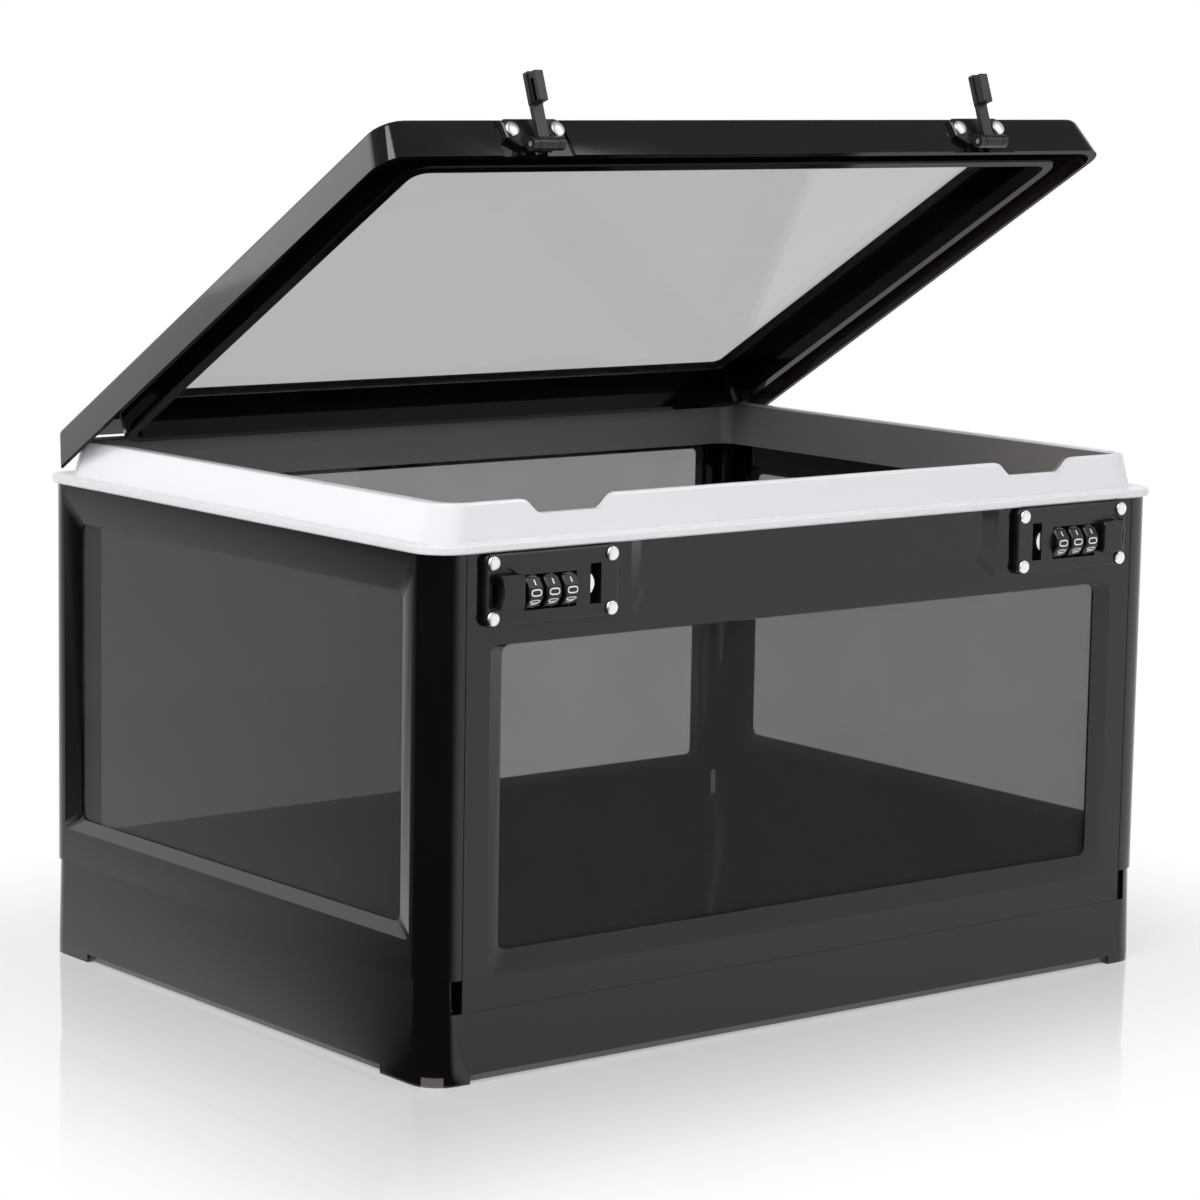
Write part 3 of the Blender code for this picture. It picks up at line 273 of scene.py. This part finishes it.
def whitePlastic(name):
    material, graph = newMaterial(name)
    cloud = graph.noise(11.0, 3.0, 0.55)
    fine = graph.noise(240.0, 2.0)
    graph.surface(
        Base_Color=graph.blend(cloud, (0.795, 0.785, 0.815, 1.0), (0.825, 0.815, 0.845, 1.0)),
        Roughness=graph.ramp(cloud, 0.3, 0.7) * 0.08 + 0.17,
        Normal=graph.bump(fine, 0.25, 0.00001),
        Coat_Weight=0.3,
        Coat_Roughness=0.08,
    )
    return material


def linerPlastic(name):
    material, graph = newMaterial(name)
    grain = graph.noise(900.0, 3.0, 0.6)
    cloud = graph.noise(16.0, 2.0)
    graph.surface(
        Base_Color=graph.blend(cloud, (0.185, 0.172, 0.168, 1.0), (0.220, 0.203, 0.199, 1.0)),
        Roughness=cloud * 0.12 + 0.36,
        Normal=graph.bump(grain, 0.3, 0.00002),
    )
    return material


def brightMetal(name, shade, rough, swirlScale=420.0):
    material, graph = newMaterial(name)
    swirl = graph.noise(swirlScale, 3.0, 0.6)
    graph.surface(
        Base_Color=graph.blend(swirl, grey(shade), grey(shade * 0.92)),
        Metallic=1.0,
        Roughness=graph.ramp(swirl, 0.3, 0.7) * 0.08 + rough,
        Normal=graph.bump(swirl, 0.15, 0.00002),
    )
    return material


lockPlastic = {
    "shade": 0.0040, "lift": 0.002, "rough": 0.26, "roughSpread": 0.10,
    "smudgeScale": 60.0, "peelScale": 1400.0, "peelHeight": 0.00002,
}
dialPlastic = {
    "shade": 0.0030, "lift": 0.001, "rough": 0.30, "roughSpread": 0.06,
    "smudgeScale": 90.0, "peelScale": 1600.0, "peelHeight": 0.00001,
}

finishes = {
    "shell": blackPlastic("shellPlastic", plastic),
    "smoked": smokedPane("smokedPane", pane),
    "white": whitePlastic("whitePlastic"),
    "liner": linerPlastic("linerPlastic"),
    "lock": blackPlastic("lockPlastic", lockPlastic),
    "dial": blackPlastic("dialPlastic", dialPlastic),
    "chrome": brightMetal("chromeMetal", 0.94, 0.30),
    "steel": brightMetal("steelMetal", 0.90, 0.30),
}
special = {
    "base_tray": trayPlastic("trayPlastic", plastic, plinthGlow),
    "lid_frame": lidPlastic("lidPlastic", plastic, lidInside),
    "lid_window": smokedPane("lidPane", lidPane),
    "front_window": smokedPane("frontPane", frontPane),
    "rear_window": smokedPane("rearPane", rearPane),
}

for part in record["subparts"]:
    body = frame["nodes"][part["node"]]
    body.data.materials.clear()
    body.data.materials.append(special.get(part["node"], finishes[part["material_slot"]]))
print("materials set on", len(record["subparts"]), "nodes")


# small roundings along the moulded edges, and smooth shading of curved faces

softEdge = {
    "weld": 0.00001, "flat": 0.3, "segments": 2, "fromAngle": 40.0, "sharp": 24.0,
    "panelSharp": 19.5, "slopeLow": 14.0, "slopeHigh": 17.2,
}
edgeWidths = {
    "shell": 0.00035, "white": 0.0007, "liner": 0.0003, "lock": 0.00022, "dial": 0.00015,
    "smoked": 0, "steel": 0, "chrome": 0,
}


def sharpGroup(name, above, low, high):
    # marks edges sharp by their angle and drops the faceted normals
    group = bpy.data.node_groups.new(name, "GeometryNodeTree")
    group.interface.new_socket("Geometry", in_out="INPUT", socket_type="NodeSocketGeometry")
    group.interface.new_socket("Geometry", in_out="OUTPUT", socket_type="NodeSocketGeometry")
    graph = Graph(group)
    start = graph.add("NodeGroupInput")
    angle = graph.add("GeometryNodeInputMeshEdgeAngle")
    steep = graph.add("FunctionNodeCompare", {"operation": "GREATER_THAN"}, {0: angle, 1: radians(above)})
    over = graph.add("FunctionNodeCompare", {"operation": "GREATER_THAN"}, {0: angle, 1: radians(low)})
    under = graph.add("FunctionNodeCompare", {"operation": "LESS_THAN"}, {0: angle, 1: radians(high)})
    slope = graph.add("FunctionNodeBooleanMath", {"operation": "AND"}, [over, under])
    sharp = graph.add("FunctionNodeBooleanMath", {"operation": "OR"}, [steep, slope])
    normals = graph.add("GeometryNodeSetMeshNormal", {"mode": "SHARPNESS"},
                        {"Mesh": start, "Remove Custom": True, "Edge Sharpness": sharp, "Face Sharpness": False})
    graph.add("NodeGroupOutput", {}, [normals])
    return group


plainSharp = sharpGroup("plainSharp", softEdge["sharp"], 0, 0)
panelSharp = sharpGroup("panelSharp", softEdge["panelSharp"], softEdge["slopeLow"], softEdge["slopeHigh"])


def soften(body, width, sharpness):
    weld = body.modifiers.new("weld", "WELD")
    weld.merge_threshold = softEdge["weld"]
    if width:
        join = body.modifiers.new("joinFlat", "DECIMATE")
        join.decimate_type = "DISSOLVE"
        join.angle_limit = radians(softEdge["flat"])
        bevel = body.modifiers.new("roundEdges", "BEVEL")
        bevel.width = width
        bevel.segments = softEdge["segments"]
        bevel.limit_method = "ANGLE"
        bevel.angle_limit = radians(softEdge["fromAngle"])
        bevel.miter_outer = "MITER_ARC"
    smooth = body.modifiers.new("sharpEdges", "NODES")
    smooth.node_group = sharpness
    weighted = body.modifiers.new("flatFaces", "WEIGHTED_NORMAL")
    weighted.keep_sharp = True


for part in record["subparts"]:
    node = part["node"]
    sharpness = panelSharp if node.endswith("panel") or node.startswith("side_panel") else plainSharp
    closeFit = node.startswith(("hasp", "lock_hook"))
    soften(frame["nodes"][node], 0 if closeFit else edgeWidths[part["material_slot"]], sharpness)
print("edges rounded")


# rear panel and its pane: the window reaches almost to the rim

rearFrame = {
    "faceY": 0.1557, "innerY": 0.1477, "pivotY": 0.1507, "pivotZ": 0.2190, "topRadius": 0.0052,
    "halfX": 0.1937, "low": 0.0310, "cornerRadius": 0.0003, "arcSteps": 6,
    "openHalf": 0.1825, "openLow": 0.0547, "openHigh": 0.2192, "openRadius": 0.003,
    "rimSide": 0.0060, "rimLow": 0.0100, "rimHigh": 0.0020, "bevelY": 0.1527, "seatY": 0.1521,
    "seatSide": 0.0035, "seatHigh": 0.0026,
    "paneY": (0.1498, 0.1518), "paneSide": 0.0032, "paneHigh": 0.0023, "paneSoft": 0.0003,
}


def roundedLoop(half, low, high, radius, steps=6):
    points = []
    for x, z, start in ((half - radius, high - radius, 0), (radius - half, high - radius, 90),
                        (radius - half, low + radius, 180), (half - radius, low + radius, 270)):
        for i in range(steps + 1):
            turn = radians(start + 90 * i / steps)
            points.append((x + radius * cos(turn), z + radius * sin(turn)))
    return points


def loopPiece(name, sections, closed):
    # skin over loops of points, each at its own y; open runs are capped
    shape = bmesh.new()
    loops = [[shape.verts.new((x, y, z)) for x, z in points] for y, points in sections]
    pairs = list(zip(loops, loops[1:])) + ([(loops[-1], loops[0])] if closed else [])
    for first, second in pairs:
        for i in range(len(first)):
            j = (i + 1) % len(first)
            shape.faces.new((first[i], first[j], second[j], second[i]))
    if not closed:
        shape.faces.new(loops[0])
        shape.faces.new(loops[-1])
    bmesh.ops.recalc_face_normals(shape, faces=shape.faces)
    mesh = bpy.data.meshes.new(name)
    shape.to_mesh(mesh)
    shape.free()
    piece = bpy.data.objects.new(name, mesh)
    bpy.context.scene.collection.objects.link(piece)
    return piece


def rearPanel():
    r = rearFrame
    opening = (r["openHalf"], r["openLow"], r["openHigh"])
    seat = (r["openHalf"] + r["seatSide"], r["openLow"] - r["seatSide"], r["openHigh"] + r["seatHigh"])
    sections = [
        (r["faceY"], roundedLoop(r["openHalf"] + r["rimSide"], r["openLow"] - r["rimLow"],
                                 r["openHigh"] + r["rimHigh"], r["openRadius"])),
        (r["bevelY"], roundedLoop(*opening, r["openRadius"])),
        (r["seatY"], roundedLoop(*opening, r["openRadius"])),
        (r["seatY"], roundedLoop(*seat, r["openRadius"])),
        (r["innerY"], roundedLoop(*seat, r["openRadius"])),
    ]
    for i in range(r["arcSteps"] + 1):
        y = r["innerY"] + (r["pivotY"] - r["innerY"]) * i / r["arcSteps"]
        high = r["pivotZ"] + (r["topRadius"] ** 2 - (y - r["pivotY"]) ** 2) ** 0.5
        sections.append((y, roundedLoop(r["halfX"], r["low"], high, r["cornerRadius"])))
    sections.append((r["faceY"], roundedLoop(r["halfX"], r["low"], r["pivotZ"] + r["topRadius"], r["cornerRadius"])))
    panel = loopPiece("rear_frame", sections, True)
    panel.data.materials.append(finishes["shell"])
    soften(panel, edgeWidths["shell"], panelSharp)
    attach(panel, "rear_panel")
    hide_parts("rear_panel")


def rearGlass():
    r = rearFrame
    near, far = r["paneY"]
    half, low, high = r["openHalf"] + r["paneSide"], r["openLow"] - r["paneSide"], r["openHigh"] + r["paneHigh"]
    soft, radius = r["paneSoft"], r["openRadius"]
    inner = roundedLoop(half - soft, low + soft, high - soft, radius - soft)
    outer = roundedLoop(half, low, high, radius)
    glass = loopPiece("rear_glass", [(near, inner), (near + soft, outer), (far - soft, outer), (far, inner)], False)
    glass.data.materials.append(special["rear_window"])
    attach(glass, "rear_panel")
    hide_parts("rear_window")


rearPanel()
rearGlass()
print("rear panel and its pane made")


# rivets with round heads

rivet = {"sides": 40, "domeSteps": 8, "edgeShare": 0.42, "shank": 0.0015, "softStep": 0.00012}


def turnedPiece(name, base, axis, profile, sides):
    # closed piece turned about axis, from runs of (distance along the axis, radius)
    axis = Vector(axis).normalized()
    across = axis.orthogonal().normalized()
    other = axis.cross(across)
    shape = bmesh.new()
    rings = []
    for along, radius in profile:
        if radius == 0:
            rings.append([shape.verts.new(base + axis * along)])
            continue
        ring = []
        for i in range(sides):
            turn = 2 * pi * i / sides
            ring.append(shape.verts.new(base + axis * along + (across * cos(turn) + other * sin(turn)) * radius))
        rings.append(ring)
    for first, second in zip(rings, rings[1:]):
        for i in range(sides):
            corners = [first[i % len(first)], first[(i + 1) % len(first)],
                       second[(i + 1) % len(second)], second[i % len(second)]]
            shape.faces.new(list(dict.fromkeys(corners)))
    bmesh.ops.recalc_face_normals(shape, faces=shape.faces)
    mesh = bpy.data.meshes.new(name)
    shape.to_mesh(mesh)
    shape.free()
    mesh.shade_smooth()
    mesh.set_sharp_from_angle(angle=radians(50))
    piece = bpy.data.objects.new(name, mesh)
    bpy.context.scene.collection.objects.link(piece)
    return piece


def rivetPiece(node, axis, body):
    # axis points out of the head
    axis = Vector(axis)
    points = [frame["nodes"][node].matrix_world @ v.co for v in frame["nodes"][node].data.vertices]
    low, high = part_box(node)
    middle = (Vector(low) + Vector(high)) / 2
    heights = [(p - middle).dot(axis) for p in points]
    spans = [((p - middle) - axis * (p - middle).dot(axis)) for p in points]
    centre = sum(spans, Vector()) / len(spans)
    radii = [(s - centre).length for s in spans]
    radius = max(radii)
    top, tail = max(heights), min(heights)
    seat = min(h for h, r in zip(heights, radii) if r > radius * 0.8)
    edge = seat + (top - seat) * rivet["edgeShare"]
    shank = min(rivet["shank"], min(r for r in radii if r > radius * 0.1))
    profile = [(tail, 0), (tail, shank), (seat, shank), (seat, radius - rivet["softStep"]),
               (seat + rivet["softStep"], radius), (edge - rivet["softStep"], radius)]
    for i in range(rivet["domeSteps"] + 1):
        turn = pi / 2 * i / rivet["domeSteps"]
        profile.append((edge + (top - edge) * sin(turn), (radius - rivet["softStep"]) * cos(turn)))
    profile[-1] = (top, 0)
    piece = turnedPiece(node.replace("rivet", "stud"), middle + centre, axis, profile, rivet["sides"])
    piece.data.materials.append(finishes["chrome"])
    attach(piece, body)
    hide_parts(node)


turn = radians(lidInside["turn"])
for word in ("left", "right"):
    for number in (1, 2, 3, 4):
        rivetPiece("lock_rivet_%s_%d" % (word, number), (0, -1, 0), "front_panel")
    for number in (1, 2):
        rivetPiece("latch_rivet_%s_%d" % (word, number), (0, -cos(turn), sin(turn)), "lid")
print("rivets turned")


# digits on the dials

digits = {
    "axisY": -0.1549, "axisZ": 0.2068, "reach": 0.00714, "height": 0.0025, "width": 0.0049,
    "stroke": 0.00062, "lift": 0.00004, "step": 36.0, "shown": "0123456789", "soft": 10,
}


def arc(x, y, across, up, start, stop, power=0.75):
    # rounded loop or part of one; power under 1 squares it off
    points = []
    count = digits["soft"] * 2
    for i in range(count + 1):
        turn = radians(start + (stop - start) * i / count)
        c, s = cos(turn), sin(turn)
        points.append((x + across * abs(c) ** power * (1 if c > 0 else -1),
                       y + up * abs(s) ** power * (1 if s > 0 else -1)))
    return points


digitStrokes = {
    # strokes on a unit cell, each a run of points from the lower left corner
    "0": [arc(0.5, 0.5, 0.5, 0.5, 0, 360, 0.6)],
    "1": [[(0.5, 0), (0.5, 1)]],
    "2": [arc(0.5, 0.68, 0.46, 0.32, 170, -40, 1) + [(0.02, 0), (1, 0)]],
    "3": [arc(0.46, 0.76, 0.48, 0.24, 150, -90, 1), arc(0.46, 0.27, 0.52, 0.27, 90, -150, 1)],
    "4": [[(0.78, 0), (0.78, 1), (0.74, 1), (0, 0.3), (1, 0.3)]],
    "5": [[(0.95, 1), (0.1, 1), (0.06, 0.58)] + arc(0.48, 0.32, 0.5, 0.32, 120, -150, 1)],
    "6": [[(0.85, 1), (0.35, 0.86), (0.1, 0.55)] + arc(0.5, 0.3, 0.48, 0.3, 165, -190, 0.8)],
    "7": [[(0, 1), (1, 1), (0.35, 0)]],
    "8": [arc(0.5, 0.76, 0.42, 0.24, -90, 270, 0.8), arc(0.5, 0.26, 0.5, 0.26, 90, 450, 0.8)],
    "9": [[(0.15, 0), (0.65, 0.14), (0.9, 0.45)] + arc(0.5, 0.7, 0.48, 0.3, -15, 340, 0.8)],
}


def digitPaint():
    material, graph = newMaterial("digitPaint")
    wear = graph.noise(1500.0, 3.0)
    graph.surface(Base_Color=graph.blend(wear, grey(0.88), grey(0.76)), Roughness=wear * 0.2 + 0.35)
    return material


def strokeRibbon(shape, points, width, wrap):
    # flat ribbon along the points, mitred at the bends and laid on the dial by wrap
    left, right = [], []
    closed = (Vector(points[0]) - Vector(points[-1])).length < width / 10
    for i, point in enumerate(points):
        before = points[max(i - 1, 0)]
        after = points[min(i + 1, len(points) - 1)]
        if closed and i in (0, len(points) - 1):
            before, after = points[-2], points[1]
        run = Vector((after[0] - before[0], after[1] - before[1])).normalized()
        side = Vector((-run.y, run.x)) * width / 2
        left.append(shape.verts.new(wrap(point[0] + side.x, point[1] + side.y)))
        right.append(shape.verts.new(wrap(point[0] - side.x, point[1] - side.y)))
    for i in range(len(points) - 1):
        shape.faces.new((left[i], left[i + 1], right[i + 1], right[i]))


def digitRing(name, centreX, paint):
    shape = bmesh.new()
    reach = digits["reach"] + digits["lift"]
    for number, mark in enumerate(digits["shown"]):
        turn = radians(180 - digits["step"] * number)

        def wrap(u, v):
            return (centreX + u, digits["axisY"] + reach * cos(turn) + v * sin(turn),
                    digits["axisZ"] + reach * sin(turn) - v * cos(turn))

        for stroke in digitStrokes[mark]:
            points = [((u - 0.5) * digits["width"], (v - 0.5) * digits["height"]) for u, v in stroke]
            strokeRibbon(shape, points, digits["stroke"], wrap)
    bmesh.ops.recalc_face_normals(shape, faces=shape.faces)
    mesh = bpy.data.meshes.new(name)
    shape.to_mesh(mesh)
    shape.free()
    mesh.materials.append(paint)
    ring = bpy.data.objects.new(name, mesh)
    bpy.context.scene.collection.objects.link(ring)
    return ring


paint = digitPaint()
for word in ("left", "right"):
    for number in (1, 2, 3):
        dial = "dial_%s_%d" % (word, number)
        low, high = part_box(dial)
        ring = digitRing("digits_%s_%d" % (word, number), (low[0] + high[0]) / 2, paint)
        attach(ring, dial)
print("digits laid on the dials")


# floor, light and camera

def sheet(name, corners):
    mesh = bpy.data.meshes.new(name)
    mesh.from_pydata(corners, [], [tuple(range(len(corners)))])
    piece = bpy.data.objects.new(name, mesh)
    bpy.context.scene.collection.objects.link(piece)
    return piece


floorLook = {
    "reach": 40.0, "halfX": 0.21, "halfY": 0.156, "near": 0.0, "far": 0.21,
    "shine": 0.55, "mirrorRough": 0.01, "paper": 0.90, "most": 0.64,
}


def whiteRays(graph):
    # rays that see the backdrop's plain white
    path = graph.tree.nodes.new("ShaderNodeLightPath")
    seen = Value(graph, path.outputs["Is Camera Ray"])
    glossy = Value(graph, path.outputs["Is Glossy Ray"])
    through = Value(graph, path.outputs["Is Transmission Ray"])
    return seen.atLeast(through), glossy


def floorSheet():
    reach = floorLook["reach"]
    floor = sheet("floor", [(-reach, -reach, 0), (reach, -reach, 0), (reach, reach, 0), (-reach, reach, 0)])
    material, graph = newMaterial("floorPaper")
    cloud = graph.noise(3.0, 2.0)
    x, y, z = graph.axes(graph.place())
    away = (abs(x) - floorLook["halfX"]).atLeast(abs(y) - floorLook["halfY"])
    fade = graph.ramp(away, floorLook["near"], floorLook["far"], floorLook["most"], 0.0)
    seen, glossy = whiteRays(graph)
    paper = graph.add("ShaderNodeBsdfDiffuse", {}, {"Color": graph.blend(cloud, grey(0.89), grey(0.90))})
    mirror = graph.add("ShaderNodeBsdfGlossy", {}, {
        "Color": (1, 1, 1, 1), "Roughness": cloud * 0.01 + floorLook["mirrorRough"]})
    white = graph.add("ShaderNodeEmission", {}, {"Color": (1, 1, 1, 1), "Strength": 1.0})
    wet = graph.add("ShaderNodeMixShader", {}, [floorLook["shine"], paper, mirror])
    shown = seen.atLeast(glossy)
    mixed = graph.add("ShaderNodeMixShader", {}, [shown * (1 - fade), wet, white])
    graph.add("ShaderNodeOutputMaterial", {}, {"Surface": mixed})
    floor.data.materials.append(material)


# painted reflection sheet: its fan, its dark sector and its glow levels
reflectionSheet = {
    "apex": (-0.196, -0.142), "height": 0.0008, "radius": 36.0, "near": 3.0, "far": 16.0, "farLevel": 0.32, "steps": 24, "from": -30.0, "to": 180.0,
    "dark": (2.0, 130.0), "soft": (26.0, 48.0), "level": 0.02,
}


def paintedReflectionSheet():
    # painted reflection: a sheet on the floor before the corner post, seen by reflections alone; it glows white but for
    # a dark sector, which paints a dark reflection into the black plastic
    fan = [(reflectionSheet["apex"][0], reflectionSheet["apex"][1], reflectionSheet["height"])]
    for i in range(reflectionSheet["steps"] + 1):
        turn = radians(reflectionSheet["to"] + (reflectionSheet["from"] - reflectionSheet["to"]) * i / reflectionSheet["steps"])
        fan.append((reflectionSheet["apex"][0] - reflectionSheet["radius"] * sin(turn),
                    reflectionSheet["apex"][1] - reflectionSheet["radius"] * cos(turn), reflectionSheet["height"]))
    piece = sheet("reflectionSheet", fan)
    material, graph = newMaterial("paintedReflection")
    x, y, z = graph.axes(graph.place())
    across, ahead = x - reflectionSheet["apex"][0], y - reflectionSheet["apex"][1]
    # angle from straight ahead of the front, growing towards the left
    turn = graph.add("ShaderNodeMath", {"operation": "ARCTAN2"}, [0 - across, 0 - ahead]) * (180 / pi)
    low, high = reflectionSheet["dark"]
    rise = graph.ramp(turn, high, high + reflectionSheet["soft"][1], reflectionSheet["level"], 1.0)
    fall = graph.ramp(turn, low - reflectionSheet["soft"][0], low, 1.0, reflectionSheet["level"])
    reach = (across * across + ahead * ahead) ** 0.5
    distant = graph.ramp(reach, reflectionSheet["near"], reflectionSheet["far"], 0.0, reflectionSheet["farLevel"])
    # painted reflection: dark across the sector before the corner post, white glow elsewhere
    light = graph.add("ShaderNodeEmission", {}, {
        "Color": (1, 1, 1, 1), "Strength": rise.atLeast(fall).atLeast(distant)})
    # nothing to rays that come from under it
    under = graph.add("ShaderNodeNewGeometry", output=6)
    clear = graph.add("ShaderNodeBsdfTransparent")
    shown = graph.add("ShaderNodeMixShader", {}, [under, light, clear])
    graph.add("ShaderNodeOutputMaterial", {}, {"Surface": shown})
    piece.data.materials.append(material)
    piece.visible_camera = False
    piece.visible_diffuse = False
    piece.visible_transmission = False
    piece.visible_shadow = False


def softBox(name, place, target, width, height, power):
    data = bpy.data.lights.new(name, "AREA")
    data.shape = "RECTANGLE"
    data.size = width
    data.size_y = height
    data.energy = power
    lamp = bpy.data.objects.new(name, data)
    bpy.context.scene.collection.objects.link(lamp)
    lamp.location = place
    lamp.rotation_euler = (Vector(target) - Vector(place)).to_track_quat("-Z", "Y").to_euler()
    return lamp


light = {"world": 1.0, "zenith": 0.26, "key": 56.0, "fill": 13.0, "side": 3.0}


def studio():
    world = bpy.data.worlds.new("studio")
    world.use_nodes = True
    bpy.context.scene.world = world
    graph = Graph(world.node_tree)
    seen, glossy = whiteRays(graph)
    up = graph.axes(graph.add("ShaderNodeTexCoord", output=0))[2]
    level = graph.ramp(up, 0.10, 0.55, light["world"], light["zenith"])
    white = graph.add("ShaderNodeBackground", {}, {"Color": (1, 1, 1, 1), "Strength": 1.0})
    soft = graph.add("ShaderNodeBackground", {}, {"Color": (0.98, 0.985, 1.0, 1), "Strength": level})
    mixed = graph.add("ShaderNodeMixShader", {}, [seen, soft, white])
    graph.add("ShaderNodeOutputWorld", {}, {"Surface": mixed})
    softBox("keyLight", (-1.5, -0.9, 2.4), (0, 0, 0.2), 1.8, 1.8, light["key"])
    softBox("fillLight", (1.6, -1.8, 2.2), (0, 0, 0.2), 1.4, 1.4, light["fill"])
    softBox("sideLight", (-1.44, 1.82, 0.95), (0, 0, 0.25), 1.8, 0.6, light["side"])


view = {
    "place": (-1.13721, -1.43760, 0.43877), "yaw": 38.32, "pitch": 8.31, "roll": 0.98,
    "focal": 3915.6, "frame": 1200.0, "sensor": 36.0,
}


def camera():
    data = bpy.data.cameras.new("camera")
    data.sensor_fit = "HORIZONTAL"
    data.sensor_width = view["sensor"]
    data.lens = view["focal"] * view["sensor"] / view["frame"]
    data.clip_end = 200.0
    eye = bpy.data.objects.new("camera", data)
    bpy.context.scene.collection.objects.link(eye)
    yaw, pitch, roll = radians(view["yaw"]), radians(view["pitch"]), radians(view["roll"])
    ahead = Vector((sin(yaw) * cos(pitch), cos(yaw) * cos(pitch), -sin(pitch)))
    right = Vector((cos(yaw), -sin(yaw), 0))
    up = right.cross(ahead)
    rolledRight = right * cos(roll) + up * sin(roll)
    rolledUp = up * cos(roll) - right * sin(roll)
    eye.matrix_world = Matrix.Translation(view["place"]) @ Matrix((rolledRight, rolledUp, -ahead)).transposed().to_4x4()
    bpy.context.scene.camera = eye


floorSheet()
paintedReflectionSheet()
studio()
camera()
bpy.context.scene.view_settings.view_transform = "Standard"
print("floor, light and camera set")
